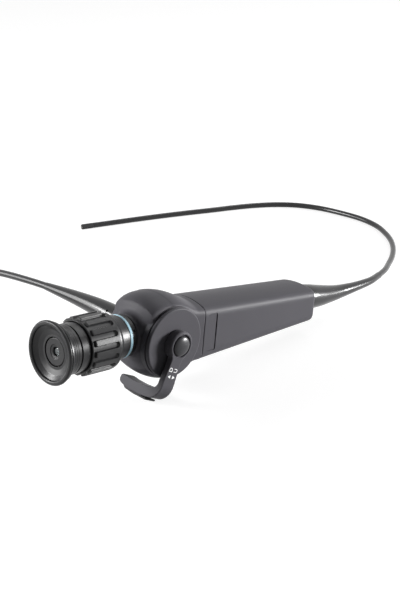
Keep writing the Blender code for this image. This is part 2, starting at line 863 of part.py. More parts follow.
def make_lever():
    """Hub and L-shaped arm: two flat outlines that cut each other, joined to a turned hub."""
    lever_axis = empty("lever_axis", scope, hub_point, (0.0, math.radians(lever_rest_deg), 0.0))
    half = arm_width / 2
    face = hub_face
    back = hub_face - arm_thickness
    elbow = (-face + elbow_radius, -rest_outer_reach + elbow_radius + 0.0005)
    side_view = [(-face, 0.0), (-face, elbow[1])]
    side_view += arc(elbow, elbow_radius, 180, 262, 6)
    side_view += [
        (-0.0080, -rest_outer_reach),
        (-0.0020, -rest_outer_reach + 0.0002),
        (0.0030, -rest_outer_reach + 0.0010),
        (rest_end - 0.0014, -rest_outer_reach + 0.0019),
        (rest_end - 0.0003, -rest_outer_reach + 0.0028),
        (rest_end, -rest_outer_reach + 0.0040),
        (rest_end - 0.0004, -rest_inner_reach + 0.0004),
        (rest_end - 0.0016, -rest_inner_reach + 0.0009),
        (0.0010, -rest_inner_reach + 0.0003),
        (-0.0050, -rest_inner_reach),
        (-0.0100, -rest_inner_reach + 0.0002),
    ]
    side_view += arc((-back + 0.0042, -rest_inner_reach + 0.0046), 0.0042, 250, 180, 5)
    side_view += [(-back, 0.0)]
    arm = plate("angulation_lever", [side_view], 4 * half, housing_grey, lever_axis, (0.0, 0.0, 0.0),
                (math.pi / 2, 0.0, math.pi / 2))
    arm = as_mesh(arm)
    waist = half * arm_waist_share
    corner = half - rest_corner
    end = -rest_outer_reach
    front_view = [(waist, -0.0030), (waist, -arm_waist_reach)]
    front_view += [(half, -arm_wide_reach), (half, end + 0.0022)]
    front_view += arc((corner, end + 0.0008), rest_corner, 0, -80, 3)
    front_view += [(corner, end - overcut), (-corner, end - overcut)]
    front_view += arc((-corner, end + 0.0008), rest_corner, -100, -180, 3)
    front_view += [(-half, -arm_wide_reach), (-waist, -arm_waist_reach), (-waist, -0.0030)]
    front = plate("lever_front_view", [front_view], 0.0800, housing_grey, lever_axis, (0.0, 0.0, 0.0),
                  (math.pi / 2, 0.0, 0.0))
    cut(arm, as_mesh(front), "INTERSECT")
    across = waist + hub_fillet
    drop = math.sqrt((hub_radius + hub_fillet) ** 2 - across ** 2)
    flare = [(-waist, -drop - 0.0008)]
    flare += arc((-across, -drop), hub_fillet, 0, math.degrees(math.atan2(drop, across)), 4)
    flare += [(0.0, -0.0010)]
    flare += [(-x, y) for x, y in reversed(flare[:-1])]
    webs = plate("lever_flare", [flare], arm_thickness, housing_grey, lever_axis,
                 (0.0, -(face + back) / 2, 0.0), (math.pi / 2, 0.0, 0.0))
    cut(arm, as_mesh(webs), "UNION")
    hub_back = cover_face + seat_gap
    hub = [
        (0.0, hub_face - hub_recess_depth),
        (hub_recess_radius, hub_face - hub_recess_depth),
        (hub_recess_radius, hub_face),
        (hub_radius - 0.0008, hub_face),
        (hub_radius, hub_face - 0.0007),
        (hub_radius, hub_back),
        (0.0, hub_back),
    ]
    boss = turned("lever_hub", hub, housing_grey, to_lever_side, steps=fine_steps, parent=lever_axis,
                  closed=False)
    cut(arm, boss, "UNION")
    recess = rod("hub_recess", hub_recess_radius, hub_face - hub_recess_depth, hub_face + overcut,
                 housing_grey, to_lever_side, parent=lever_axis, steps=fine_steps)
    cut(arm, recess)
    bore = rod("hub_bore", shaft_radius + seat_gap, hub_back - overcut, hub_face + overcut,
               housing_grey, to_lever_side, parent=lever_axis, steps=plain_steps)
    cut(arm, bore)
    arm.data.materials.clear()
    arm.data.materials.append(housing_grey)
    cap_floor = hub_face - hub_recess_depth + seat_gap
    dome = [(0.0, cap_floor + cap_height)]
    dome += [(cap_radius * math.sin(a), cap_floor + 0.0006 + (cap_height - 0.0006) * math.cos(a))
             for a in (0.35, 0.7, 1.05, 1.35)]
    dome += [(cap_radius, cap_floor + 0.0005), (cap_radius, cap_floor), (0.0, cap_floor)]
    turned("lever_cap", dome, housing_grey, to_lever_side, parent=lever_axis, closed=False)
    rod("lever_shaft", shaft_radius, shaft_inner_end, hub_face - hub_recess_depth, steel, to_lever_side,
        parent=lever_axis, chamfer=0.0003)
    make_thumb_pad(lever_axis)
    return lever_axis


def make_thumb_pad(lever_axis):
    """A rubber sole under the thumb rest, which follows its bow."""
    top = -rest_outer_reach - seat_gap
    low = -rest_outer_reach - pad_thickness
    outline = [
        (-0.0140, top + 0.0001),
        (-0.0140, low + 0.0004),
        (-0.0134, low),
        (-0.0030, low + 0.0001),
        (0.0032, low + 0.0009),
        (0.0046, low + 0.0018),
        (0.0046, top + 0.0016),
        (0.0030, top + 0.0010),
        (-0.0020, top + 0.0002),
        (-0.0080, top),
        (-0.0128, top),
    ]
    pad = plate("thumb_pad", [outline], arm_width - 2 * pad_inset, soft_black, lever_axis,
                (0.0, 0.0, 0.0), (math.pi / 2, 0.0, math.pi / 2))
    return pad


# Angulation mechanism

def make_drum(lever_axis):
    floor = wire_offset - wire_radius - running_gap
    back = drum_offset - drum_width / 2
    front = drum_offset + drum_width / 2
    groove_back = drum_offset - drum_groove_width / 2
    groove_front = drum_offset + drum_groove_width / 2
    bore = shaft_radius + seat_gap
    profile = [
        (bore, front),
        (drum_radius, front),
        (drum_radius, groove_front),
        (floor, groove_front),
        (floor, groove_back),
        (drum_radius, groove_back),
        (drum_radius, back),
        (bore, back),
    ]
    turned("angulation_drum", profile, brass, to_lever_side, parent=lever_axis)


wire_end = block_place + block_length * 0.6


def make_wires():
    for name, side in (("pull_wire_up", 1), ("pull_wire_down", -1)):
        rod(name, wire_radius, hub_x, wire_end, steel, to_grip, steps=8,
            location=(0.0, -drum_offset, hub_z + side * wire_offset))
        sheath = [
            (block_place + block_length + seat_gap, -drum_offset, hub_z + side * wire_offset),
            (block_place + block_length + 0.0080, -drum_offset, hub_z + side * wire_offset),
            (block_place + block_length + 0.0200, -drum_offset * 0.72, gland_z + side * 0.0042),
            (grip_end - 0.0120, -drum_offset * 0.12, gland_z + side * 0.0022),
            (grip_end - grip_end_wall, 0.0001, gland_z + side * 0.0021),
            (grip_end - seat_gap, 0.0001, gland_z + side * 0.0021),
        ]
        tube(name.replace("pull_wire", "coil_sheath"), smooth_route(sheath, 14), sheath_radius, steel,
             resolution=1, parent=scope)


def make_frame():
    plate_back = frame_offset - frame_thickness / 2
    front_x = -sleeve_back + seat_gap
    end_x = block_place - seat_gap
    half = frame_height / 2
    slim = 0.0055
    hub_hole = shaft_radius + running_gap + bush_wall + seat_gap
    outline = [
        (front_x, -half),
        (hub_x + 0.0130, -half + hub_z / 2),
        (hub_x + 0.0200, -slim + hub_z),
        (end_x, -slim + hub_z),
        (end_x, slim + hub_z),
        (hub_x + 0.0200, slim + hub_z),
        (hub_x + 0.0130, half + hub_z / 2),
        (front_x, half),
    ]
    hole = [(hub_x + y, hub_z + z) for y, z in arc((0.0, 0.0), hub_hole, 0, 360 - 15, 23)]
    windows = []
    for i in range(2):
        start = hub_x + 0.0240 + i * 0.0160
        end = start + 0.0120
        windows.append([(start, hub_z - 0.0026), (end, hub_z - 0.0026),
                        (end, hub_z + 0.0026), (start, hub_z + 0.0026)])
    plate("frame_plate", [outline, hole] + windows, frame_thickness, steel, scope,
          (0.0, -frame_offset, 0.0), (math.pi / 2, 0.0, 0.0))
    bush_outer = shaft_radius + running_gap + bush_wall
    bush_inner = shaft_radius + running_gap
    drum_back = drum_offset - drum_width / 2
    profile = [
        (bush_inner, drum_back - seat_gap),
        (bush_outer + 0.0012, drum_back - seat_gap),
        (bush_outer + 0.0012, plate_back + frame_thickness + seat_gap),
        (bush_outer, plate_back + frame_thickness + seat_gap),
        (bush_outer, plate_back),
        (bush_inner, plate_back),
    ]
    turned("shaft_bush", profile, bearing_white, to_lever_side, location=hub_point)


def make_guide_block():
    """The block that anchors frame, sheaths and bundles inside the grip."""
    back = block_place + block_length
    near = lerp(grip_side, grip_share(back)) - grip_wall - seat_gap
    half = block_height / 2
    solid = block("guide_block", (block_place, -near, hub_z - half), (back, block_far_side, hub_z + half),
                  brass)
    wide = seat_gap
    ends = (block_place - 0.0010, back + 0.0010)
    wires = [rod("wire_hole", wire_radius + wide, *ends, brass, to_grip, steps=small_steps,
                 location=(0.0, -drum_offset, hub_z + side * wire_offset)) for side in (1, -1)]
    bundle = rod("bundle_hole", bundle_radius + wide, *ends, brass, to_grip, steps=small_steps)
    light = rod("light_hole", light_bundle_radius + wide, *ends, brass, to_grip, steps=small_steps,
                location=(0.0, light_bundle_y, light_bundle_z))
    for cutter in wires + [bundle, light]:
        cut(solid, cutter)


def make_light_bundle():
    route = [
        (hub_x, far_face - 0.0002, hub_z),
        (hub_x, 0.0130, hub_z),
        (hub_x + 0.0008, 0.0095, hub_z),
        (hub_x + 0.0038, 0.0064, hub_z),
        (hub_x + 0.0090, 0.0047, hub_z - 0.0004),
        (hub_x + 0.0160, light_bundle_y, light_bundle_z + 0.0004),
        (hub_x + 0.0300, light_bundle_y, light_bundle_z),
        (block_place, light_bundle_y, light_bundle_z),
        (block_place + block_length + 0.0040, light_bundle_y, light_bundle_z),
        (grip_end - 0.0280, light_bundle_y * 0.8, light_bundle_z),
        (grip_end - 0.0120, 0.0014, gland_z),
        (grip_end - grip_end_wall, 0.0012, gland_z),
        (grip_end - seat_gap, 0.0012, gland_z),
    ]
    points = smooth_route(route, 24)
    tube("light_guide_bundle", points, light_bundle_radius, fibre_grey, parent=scope)


# Insertion boot, tube and the bending section at its end, in table coordinates

def on_table(point):
    """A point given from the foot of the scope's axis, moved with the scope's place."""
    return (point[0] + stand_shift[0], point[1] + stand_shift[1], point[2])


boot_route = [
    (0.1165, 0.0000, 0.0161),
    (0.1225, 0.0000, 0.0150),
    (0.1325, 0.0000, 0.0127),
    (0.1429, 0.0000, 0.0108),
    (0.1516, 0.0001, 0.0096),
    (0.1645, 0.0005, 0.0083),
    (0.1785, 0.0018, 0.0069),
    (0.1860, 0.0032, 0.0062),
    (0.1958, 0.0063, 0.0053),
]
boot_radii = [0.0074, 0.0072, 0.0063, 0.0050, 0.0040, 0.0030, 0.0024, 0.00215, 0.0020]
tube_route = [
    (0.1958, 0.0063, 0.0053),
    (0.2080, 0.0112, 0.0040),
    (0.2198, 0.0178, 0.0027),
    (0.2308, 0.0241, 0.0020),
    (0.2405, 0.0307, 0.00176),
    (0.2473, 0.0364, 0.00176),
    (0.2547, 0.0440, 0.00176),
    (0.2617, 0.0537, 0.00176),
    (0.2687, 0.0670, 0.00176),
    (0.2721, 0.0830, 0.00176),
    (0.2713, 0.0999, 0.00176),
    (0.2682, 0.1168, 0.00176),
    (0.2619, 0.1313, 0.00176),
    (0.2526, 0.1426, 0.00176),
    (0.2405, 0.1518, 0.00176),
    (0.2270, 0.1593, 0.00176),
    (0.2128, 0.1660, 0.00176),
    (0.1990, 0.1729, 0.00176),
    (0.1849, 0.1796, 0.00176),
    (0.1700, 0.1862, 0.00176),
    (0.1615, 0.1898, 0.00176),
]
tip_turn_deg = 158.0


def trimmed(points, start_gap, end_gap):
    """The route with a little taken off its ends, for the gap to what it meets."""
    first = (points[1] - points[0]).normalized() * start_gap
    last = (points[-2] - points[-1]).normalized() * end_gap
    return [points[0] + first] + points[1:-1] + [points[-1] + last]


def radius_along(route, radii, points):
    """Radii for the points, read off the radii of the route's own points."""
    knots = [Vector(on_table(point)) for point in route]
    marks = [0.0]
    for a, b in zip(knots, knots[1:]):
        marks.append(marks[-1] + (b - a).length)
    total = marks[-1]
    read = []
    at = 0
    for i in range(len(points)):
        goal = total * i / (len(points) - 1)
        while at < len(marks) - 2 and marks[at + 1] < goal:
            at += 1
        share = (goal - marks[at]) / (marks[at + 1] - marks[at])
        share = max(0.0, min(1.0, share))
        share = share * share * (3 - 2 * share) * 0.3 + share * 0.7
        read.append(radii[at] + (radii[at + 1] - radii[at]) * share)
    return read


def make_insertion_tube():
    boot_points = smooth_route([on_table(point) for point in boot_route], 22)
    boot_points = trimmed(boot_points, 0.0, seat_gap)
    tube("insertion_boot", boot_points, radius_along(boot_route, boot_radii, boot_points), gloss_black,
         resolution=3)
    tube_points = smooth_route([on_table(point) for point in tube_route], 44)
    tube_points = trimmed(tube_points, 0.0, link_gap)
    tube("insertion_tube", tube_points, tube_radius, gloss_black)


def make_bending_section():
    """Seven links and the distal tip, each hinged to the one before it."""
    end = Vector(on_table(tube_route[-1]))
    root = empty("bending_root", location=end, rotation=(0.0, 0.0, math.radians(tip_turn_deg)))
    bend_each = math.radians(bend_deg / (link_count + 1))
    slope = tube_radius * math.tan(bend_each / 2) + link_slack
    profile = [
        (0.0, link_pitch - link_gap),
        (tube_radius, link_pitch - link_gap - slope),
        (tube_radius, link_gap + slope),
        (0.0, link_gap),
    ]
    carrier = root
    shared = None
    for i in range(link_count):
        pivot = empty("bending_hinge_%d" % (i + 1), carrier, (link_pitch if i else 0.0, 0.0, 0.0))
        link = turned("bending_link_%d" % (i + 1), profile, gloss_black, to_grip, steps=small_steps,
                      parent=pivot, closed=False)
        if shared:
            link.data = shared
        shared = link.data
        carrier = pivot
    pivot = empty("distal_hinge", carrier, (link_pitch, 0.0, 0.0))
    tip_profile = [
        (0.0, tip_length),
        (tube_radius - 0.0004, tip_length),
        (tube_radius, tip_length - 0.0005),
        (tube_radius, link_gap + slope),
        (0.0, link_gap),
    ]
    tip = turned("distal_tip", tip_profile, soft_black, to_grip, steps=small_steps, parent=pivot,
                 closed=False)
    seats = [
        ("objective_lens", objective_radius, (0.0, 0.0), lens_glass),
        ("light_window_left", light_window_radius, (0.0, 0.00105), fibre_grey),
        ("light_window_right", light_window_radius, (0.0, -0.00105), fibre_grey),
    ]
    for name, radius, (up, across), finish in seats:
        seat = rod(name + "_seat", radius + 0.0001, tip_length - window_depth, tip_length + overcut,
                   finish, to_grip, steps=12, parent=pivot, location=(0.0, across, up))
        cut(tip, seat)
        rod(name, radius, tip_length - window_depth + 0.0001, tip_length, finish, to_grip, steps=12,
            parent=pivot, location=(0.0, across, up))


# Light guide cable with its boot, coil and plug

light_boot_start = far_face + seat_gap + collar_nut_length + seat_gap
light_boot_route = [
    (0.0037, light_boot_start, 0.0302),
    (0.0037, 0.0240, 0.0303),
    (0.0037, 0.0310, 0.0310),
    (0.0037, 0.0400, 0.0316),
    (0.0037, 0.0500, 0.0318),
    (0.0037, 0.0620, 0.0317),
    (0.0036, 0.0740, 0.0314),
    (0.0036, 0.0850, 0.0310),
]
boot_hole_place = 0.0300
boot_hole_radius = 0.0007
boot_hole_depth = 0.0018
boot_hole_turn_deg = -50
light_boot_end_radius = 0.0022
cable_route = [
    (0.0036, 0.0850, 0.0310),
    (0.0034, 0.0940, 0.0305),
    (0.0032, 0.1030, 0.0298),
    (0.0030, 0.1140, 0.0288),
    (0.0027, 0.1260, 0.0274),
    (0.0022, 0.1390, 0.0252),
    (0.0016, 0.1510, 0.0223),
    (0.0010, 0.1630, 0.0184),
    (0.0004, 0.1740, 0.0142),
    (0.0001, 0.1850, 0.0100),
    (0.0001, 0.1960, 0.0064),
    (0.0004, 0.2060, 0.0041),
    (0.0008, 0.2150, 0.0031),
]
coil_centre = (-0.02885, 0.2310)
plug_x = -0.0600
cable_end_route = [
    (-0.0585, 0.2150, 0.0070),
    (-0.0589, 0.2090, 0.0069),
    (-0.0594, 0.2030, 0.0070),
    (-0.0598, 0.1960, 0.0076),
    (plug_x, 0.1900, plug_radius + 0.0001),
]
plug_boot_end = 0.1900


def make_light_cable():
    ring("light_guide_collar", collar_nut_radius, cable_radius + 0.0010, far_face + seat_gap,
               far_face + seat_gap + collar_nut_length, eyepiece_black, to_far_side, location=hub_point)
    boot_points = smooth_route([on_table(point) for point in light_boot_route], 16)
    boot_points = trimmed(boot_points, 0.0, seat_gap)
    steps = len(boot_points) - 1
    radii = [light_boot_radius + (light_boot_end_radius - light_boot_radius) * i / steps
             for i in range(steps + 1)]
    boot = as_mesh(tube("light_guide_boot", boot_points, radii, gloss_black, resolution=3))
    hole = rod("boot_hole", boot_hole_radius, light_boot_radius - boot_hole_depth,
               light_boot_radius + overcut, gloss_black, (0.0, math.radians(boot_hole_turn_deg), 0.0),
               steps=small_steps, parent=None, location=on_table((0.0037, boot_hole_place, 0.0311)))
    cut(boot, hole)
    tube("light_guide_cable", smooth_route([on_table(point) for point in cable_route], 24), cable_radius,
         gloss_black)


def make_coil():
    centre = on_table((*coil_centre, 0.0))
    half = coil_width / 2
    low = coil_lift
    high = coil_lift + coil_height
    inner = coil_mean_radius - half
    outer = coil_mean_radius + half
    edge = cable_radius * 0.6
    profile = [
        (inner + edge, high),
        (outer - edge, high),
        (outer, high - edge),
        (outer, low + edge),
        (outer - edge, low),
        (inner + edge, low),
        (inner, low + edge),
        (inner, high - edge),
    ]
    turned("cable_coil", profile, gloss_black, (0.0, 0.0, 0.0), steps=fine_steps, location=centre,
           parent=None)
    gap = seat_gap
    loop_low = (inner - gap, low - gap)
    loop_high = (outer + gap, high + gap)
    hole = [loop_low, (loop_high[0], loop_low[1]), loop_high, (loop_low[0], loop_high[1])]
    wall = tie_wall
    rim = [(loop_low[0] - wall, loop_low[1] - wall), (loop_high[0] + wall, loop_low[1] - wall),
           (loop_high[0] + wall, loop_high[1] + wall), (loop_low[0] - wall, loop_high[1] + wall)]
    plate("coil_tie", [rim, hole], tie_width, soft_black, None, centre,
          (math.pi / 2, 0.0, math.radians(100.0)))


def make_plug():
    """The plug that goes to the lamp: tapered boot, body with a vent cap, and the light guide pin."""
    tube("light_guide_cable_end", smooth_route([on_table(point) for point in cable_end_route], 14),
         cable_radius, gloss_black)
    place = on_table((plug_x, plug_boot_end - seat_gap, plug_radius + 0.0001))
    to_plug = (math.pi / 2, 0.0, 0.0)
    boot = [
        (0.0, plug_boot_length),
        (plug_radius * 0.62, plug_boot_length),
        (plug_radius * 0.60, plug_boot_length - 0.0060),
        (cable_radius + 0.0008, 0.0060),
        (cable_radius + 0.0003, 0.0),
        (0.0, 0.0),
    ]
    turned("plug_boot", boot, gloss_black, to_plug, steps=plain_steps, location=place, parent=None,
           closed=False)
    start = plug_boot_length + seat_gap
    end = start + plug_length
    body = [
        (0.0, end),
        (plug_radius * 0.60, end),
        (plug_radius * 0.66, end - 0.0006),
        (plug_radius * 0.66, end - 0.0080),
        (plug_radius - 0.0004, end - 0.0090),
        (plug_radius, end - 0.0098),
        (plug_radius, start + 0.0080),
        (plug_radius * 0.72, start + 0.0006),
        (plug_radius * 0.66, start),
        (0.0, start),
    ]
    turned("light_guide_plug", body, housing_grey, to_plug, steps=plain_steps, location=place,
           parent=None, closed=False)
    pin_start = end + seat_gap
    pin = [
        (0.0, pin_start + plug_pin_length),
        (plug_pin_radius - 0.0008, pin_start + plug_pin_length),
        (plug_pin_radius - 0.0005, pin_start + plug_pin_length - 0.0003),
        (plug_pin_radius - 0.0005, pin_start + plug_pin_length * 0.55),
        (plug_pin_radius, pin_start + plug_pin_length * 0.50),
        (plug_pin_radius, pin_start + 0.0030),
        (plug_pin_radius + 0.0012, pin_start + 0.0024),
        (plug_pin_radius + 0.0012, pin_start),
        (0.0, pin_start),
    ]
    turned("light_guide_pin", pin, steel, to_plug, steps=plain_steps, location=place, parent=None,
           closed=False)
    vent_place = (place[0], place[1] - (start + plug_length * 0.42), place[2])
    vent = [
        (0.0, plug_radius + seat_gap + vent_length),
        (vent_radius - 0.0006, plug_radius + seat_gap + vent_length),
        (vent_radius, plug_radius + seat_gap + vent_length - 0.0006),
        (vent_radius, plug_radius + seat_gap + 0.0026),
        (vent_radius - 0.0010, plug_radius + seat_gap + 0.0022),
        (vent_radius - 0.0010, plug_radius + seat_gap),
        (0.0, plug_radius + seat_gap),
    ]
    turned("vent_cap", vent, steel, (0.0, 0.0, 0.0), steps=small_steps, location=vent_place,
           parent=None, closed=False)


def build():
    make_eyepiece_cup()
    make_eye_window()
    make_barrel()
    make_ocular()
    make_diopter_ring()
    make_collar()
    make_image_bundle()
    make_control_body()
    make_grip()
    make_gland()
    make_side_cover()
    lever_axis = make_lever()
    make_drum(lever_axis)
    make_wires()
    make_frame()
    make_guide_block()
    make_light_bundle()
    make_insertion_tube()
    make_bending_section()
    make_light_cable()
    make_coil()
    make_plug()
    bpy.context.view_layer.update()


build()
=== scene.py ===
import math

import bmesh
import bpy
from mathutils import Matrix, Vector


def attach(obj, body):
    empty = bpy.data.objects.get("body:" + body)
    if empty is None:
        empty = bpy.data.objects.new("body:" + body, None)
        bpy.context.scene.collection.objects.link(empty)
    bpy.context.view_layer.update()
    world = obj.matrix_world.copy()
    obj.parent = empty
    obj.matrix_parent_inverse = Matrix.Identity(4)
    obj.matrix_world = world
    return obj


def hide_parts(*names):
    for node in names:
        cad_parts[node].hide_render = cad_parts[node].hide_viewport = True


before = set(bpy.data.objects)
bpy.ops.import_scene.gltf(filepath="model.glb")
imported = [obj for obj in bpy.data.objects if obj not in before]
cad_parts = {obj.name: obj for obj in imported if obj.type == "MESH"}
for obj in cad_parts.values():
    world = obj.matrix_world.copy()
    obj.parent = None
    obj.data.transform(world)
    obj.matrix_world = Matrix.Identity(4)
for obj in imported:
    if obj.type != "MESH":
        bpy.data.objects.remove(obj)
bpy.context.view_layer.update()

# Where the scope lies: its axis is tipped eyepiece up, and +X runs from the eyepiece to the grip

posture = {"foot": (-0.02574, 0.0032), "height": 0.03359, "pitch": 6.75, "lever": 21.0,
           "hub": (0.0041, 0.0, -0.0030)}


def turnBy(degrees, axis):
    return Matrix.Rotation(math.radians(degrees), 4, axis)


def moveBy(*offset):
    return Matrix.Translation(offset)


scopeFrame = moveBy(*posture["foot"], posture["height"]) @ turnBy(posture["pitch"], "Y")
toEye = scopeFrame @ turnBy(-90, "Y")
hubFrame = scopeFrame @ moveBy(*posture["hub"])
toLeverSide = hubFrame @ turnBy(90, "X")
toFarSide = hubFrame @ turnBy(-90, "X")
leverFrame = hubFrame @ turnBy(posture["lever"], "Y")
toLeverFace = leverFrame @ turnBy(90, "X")


# Camera

shot = {"place": (-0.49554, -0.5126, 0.34908), "aim": (0.6448, 0.6548, -0.3944), "lens": 90.0}


def makeCamera():
    camera = bpy.data.objects.new("camera", bpy.data.cameras.new("camera"))
    camera.data.sensor_fit = "VERTICAL"
    camera.data.sensor_height = 36.0
    camera.data.sensor_width = 36.0
    camera.data.lens = shot["lens"]
    camera.data.clip_start = 0.01
    camera.data.clip_end = 20.0
    camera.location = shot["place"]
    camera.rotation_euler = Vector(shot["aim"]).to_track_quat("-Z", "Y").to_euler()
    bpy.context.scene.collection.objects.link(camera)
    bpy.context.scene.camera = camera


makeCamera()
print("camera set")


# Shader groups that several finishes share

def newGroup(name, inputs, outputs, kind="ShaderNodeTree"):
    group = bpy.data.node_groups.new(name, kind)
    for label, socketKind, value in inputs:
        socket = group.interface.new_socket(name=label, in_out="INPUT", socket_type="NodeSocket" + socketKind)
        if value is not None:
            socket.default_value = value
    for label, socketKind in outputs:
        group.interface.new_socket(name=label, in_out="OUTPUT", socket_type="NodeSocket" + socketKind)
    return group, group.nodes.new("NodeGroupInput"), group.nodes.new("NodeGroupOutput")


def setInputs(node, **values):
    for key, value in values.items():
        node.inputs[key.replace("_", " ")].default_value = value


def treeNode(tree, kind, links=None, **values):
    # a node with its inputs linked or set by name
    node = tree.nodes.new(kind)
    setInputs(node, **values)
    for key, socket in (links or {}).items():
        tree.links.new(socket, node.inputs[key])
    return node


def mathNode(tree, operation, a, b=None, c=None):
    node = tree.nodes.new("ShaderNodeMath")
    node.operation = operation
    for socket, value in zip(node.inputs, (a, b, c)):
        if value is None:
            continue
        if isinstance(value, (int, float)):
            socket.default_value = value
        else:
            tree.links.new(value, socket)
    return node.outputs[0]


def noiseNode(tree, vector, scale, detail=2.0):
    node = treeNode(tree, "ShaderNodeTexNoise", {"Vector": vector}, Detail=detail)
    if isinstance(scale, (int, float)):
        setInputs(node, Scale=scale)
    else:
        tree.links.new(scale, node.inputs["Scale"])
    return node.outputs["Fac"]


def unevenRoughness(group, given, pattern):
    uneven = mathNode(group, "MULTIPLY", mathNode(group, "SUBTRACT", pattern, 0.5), given["Spread"])
    return mathNode(group, "ADD", given["Roughness"], uneven)


def makeGrainGroup():
    # fine moulded or sheathed surface: a little uneven in gloss and tone, with a fine grain
    group, start, end = newGroup(
        "surfaceGrain",
        [("Vector", "Vector", None), ("Grain Scale", "Float", 2500.0), ("Patch Scale", "Float", 60.0),
         ("Roughness", "Float", 0.4), ("Spread", "Float", 0.1)],
        [("Roughness", "Float"), ("Height", "Float"), ("Tone", "Float")])
    given = start.outputs
    fine = noiseNode(group, given["Vector"], given["Grain Scale"], 3.0)
    patch = noiseNode(group, given["Vector"], given["Patch Scale"], 4.0)
    group.links.new(unevenRoughness(group, given, patch), end.inputs["Roughness"])
    group.links.new(fine, end.inputs["Height"])
    group.links.new(patch, end.inputs["Tone"])
    return group


def makeTurnedGroup():
    # rings left by turning, about the X axis of the vector handed in
    group, start, end = newGroup(
        "turnedRings",
        [("Vector", "Vector", None), ("Rings", "Float", 9000.0), ("Roughness", "Float", 0.3),
         ("Spread", "Float", 0.1)],
        [("Roughness", "Float"), ("Height", "Float")])
    given = start.outputs
    split = treeNode(group, "ShaderNodeSeparateXYZ", {"Vector": given["Vector"]})
    squares = [mathNode(group, "POWER", split.outputs[axis], 2.0) for axis in ("Y", "Z")]
    reach = mathNode(group, "SQRT", mathNode(group, "ADD", *squares))
    along = mathNode(group, "ADD", split.outputs["X"], reach)
    join = treeNode(group, "ShaderNodeCombineXYZ", {"X": mathNode(group, "MULTIPLY", along, given["Rings"])})
    line = noiseNode(group, join.outputs[0], 1.0, 3.0)
    group.links.new(unevenRoughness(group, given, line), end.inputs["Roughness"])
    group.links.new(line, end.inputs["Height"])
    return group


grainGroup = makeGrainGroup()
turnedGroup = makeTurnedGroup()


def newFinish(name, colour, metallic=0.0, specular=0.5, coat=0.0, coatRoughness=0.1):
    finish = bpy.data.materials.new(name)
    finish.use_nodes = True
    shader = finish.node_tree.nodes["Principled BSDF"]
    setInputs(shader, Base_Color=(*colour, 1.0), Metallic=metallic, Specular_IOR_Level=specular,
              Coat_Weight=coat, Coat_Roughness=coatRoughness)
    return finish, finish.node_tree, shader


def objectVector(tree, place=None):
    texture = tree.nodes.new("ShaderNodeTexCoord")
    if place is None:
        return texture.outputs["Object"]
    inverse = place.inverted()
    mapping = treeNode(tree, "ShaderNodeMapping", {"Vector": texture.outputs["Object"]},
                       Location=inverse.translation, Rotation=inverse.to_euler())
    return mapping.outputs[0]


def addBump(tree, shader, height, distance):
    bump = treeNode(tree, "ShaderNodeBump", {"Height": height}, Distance=distance, Strength=1.0)
    tree.links.new(bump.outputs["Normal"], shader.inputs["Normal"])


def toneColour(tree, shader, tone, colour, depth):
    # the colour drifts a little from patch to patch
    mix = tree.nodes.new("ShaderNodeMix")
    mix.data_type = "RGBA"
    mix.inputs["A"].default_value = (*[c * (1 - depth) for c in colour], 1.0)
    mix.inputs["B"].default_value = (*[min(1.0, c * (1 + depth)) for c in colour], 1.0)
    tree.links.new(tone, mix.inputs["Factor"])
    tree.links.new(mix.outputs["Result"], shader.inputs["Base Color"])


def groupNode(tree, group, vector, shader, **values):
    # a shared group, with its roughness handed to the shader
    node = tree.nodes.new("ShaderNodeGroup")
    node.node_tree = group
    setInputs(node, **values)
    tree.links.new(vector, node.inputs["Vector"])
    tree.links.new(node.outputs["Roughness"], shader.inputs["Roughness"])
    return node


def grainFinish(name, colour, roughness, spread=0.1, grainScale=2500.0, grainDepth=0.00002, patchScale=60.0,
                toneDepth=0.06, **look):
    finish, tree, shader = newFinish(name, colour, **look)
    grain = groupNode(tree, grainGroup, objectVector(tree), shader, Grain_Scale=grainScale,
                      Patch_Scale=patchScale, Roughness=roughness, Spread=spread)
    toneColour(tree, shader, grain.outputs["Tone"], colour, toneDepth)
    addBump(tree, shader, grain.outputs["Height"], grainDepth)
    return finish


def turnedFinish(name, colour, roughness, place, rings=9000.0, spread=0.12, depth=0.000004, **look):
    finish, tree, shader = newFinish(name, colour, **look)
    turned = groupNode(tree, turnedGroup, objectVector(tree, place), shader, Rings=rings, Roughness=roughness,
                       Spread=spread)
    addBump(tree, shader, turned.outputs["Height"], depth)
    return finish


def glassFinish(name, colour):
    finish, tree, shader = newFinish(name, colour)
    setInputs(shader, Transmission_Weight=0.85, IOR=1.5)
    rough = noiseNode(tree, objectVector(tree), 900.0)
    tree.links.new(mathNode(tree, "MULTIPLY", rough, 0.06), shader.inputs["Roughness"])
    return finish


housing = grainFinish("housing", (0.072, 0.070, 0.078), 0.42, grainScale=5200.0, grainDepth=0.000012,
                      patchScale=45.0, specular=0.06)
eyepieceBlack = turnedFinish("eyepieceBlack", (0.011, 0.011, 0.012), 0.30, scopeFrame, rings=2200.0,
                             specular=0.28, spread=0.05, depth=0.000001)
ribBlack = grainFinish("ribBlack", (0.012, 0.012, 0.013), 0.34, grainScale=6000.0, grainDepth=0.000006,
                       specular=0.30)
paleBlue = grainFinish("paleBlue", (0.50, 0.79, 0.93), 0.40, toneDepth=0.02, grainDepth=0.000004)
markWhite = grainFinish("markWhite", (0.88, 0.88, 0.88), 0.45, toneDepth=0.02, grainDepth=0.000004)
glossSheath = grainFinish("glossSheath", (0.010, 0.010, 0.011), 0.21, spread=0.02, grainScale=900.0,
                          grainDepth=0.0000002, specular=0.32, coat=0.2, coatRoughness=0.14)
padRubber = grainFinish("padRubber", (0.020, 0.020, 0.021), 0.62, grainScale=4000.0, grainDepth=0.00002,
                        specular=0.25)
capGloss = grainFinish("capGloss", (0.030, 0.030, 0.033), 0.30, spread=0.05, grainDepth=0.000004,
                       specular=0.26)
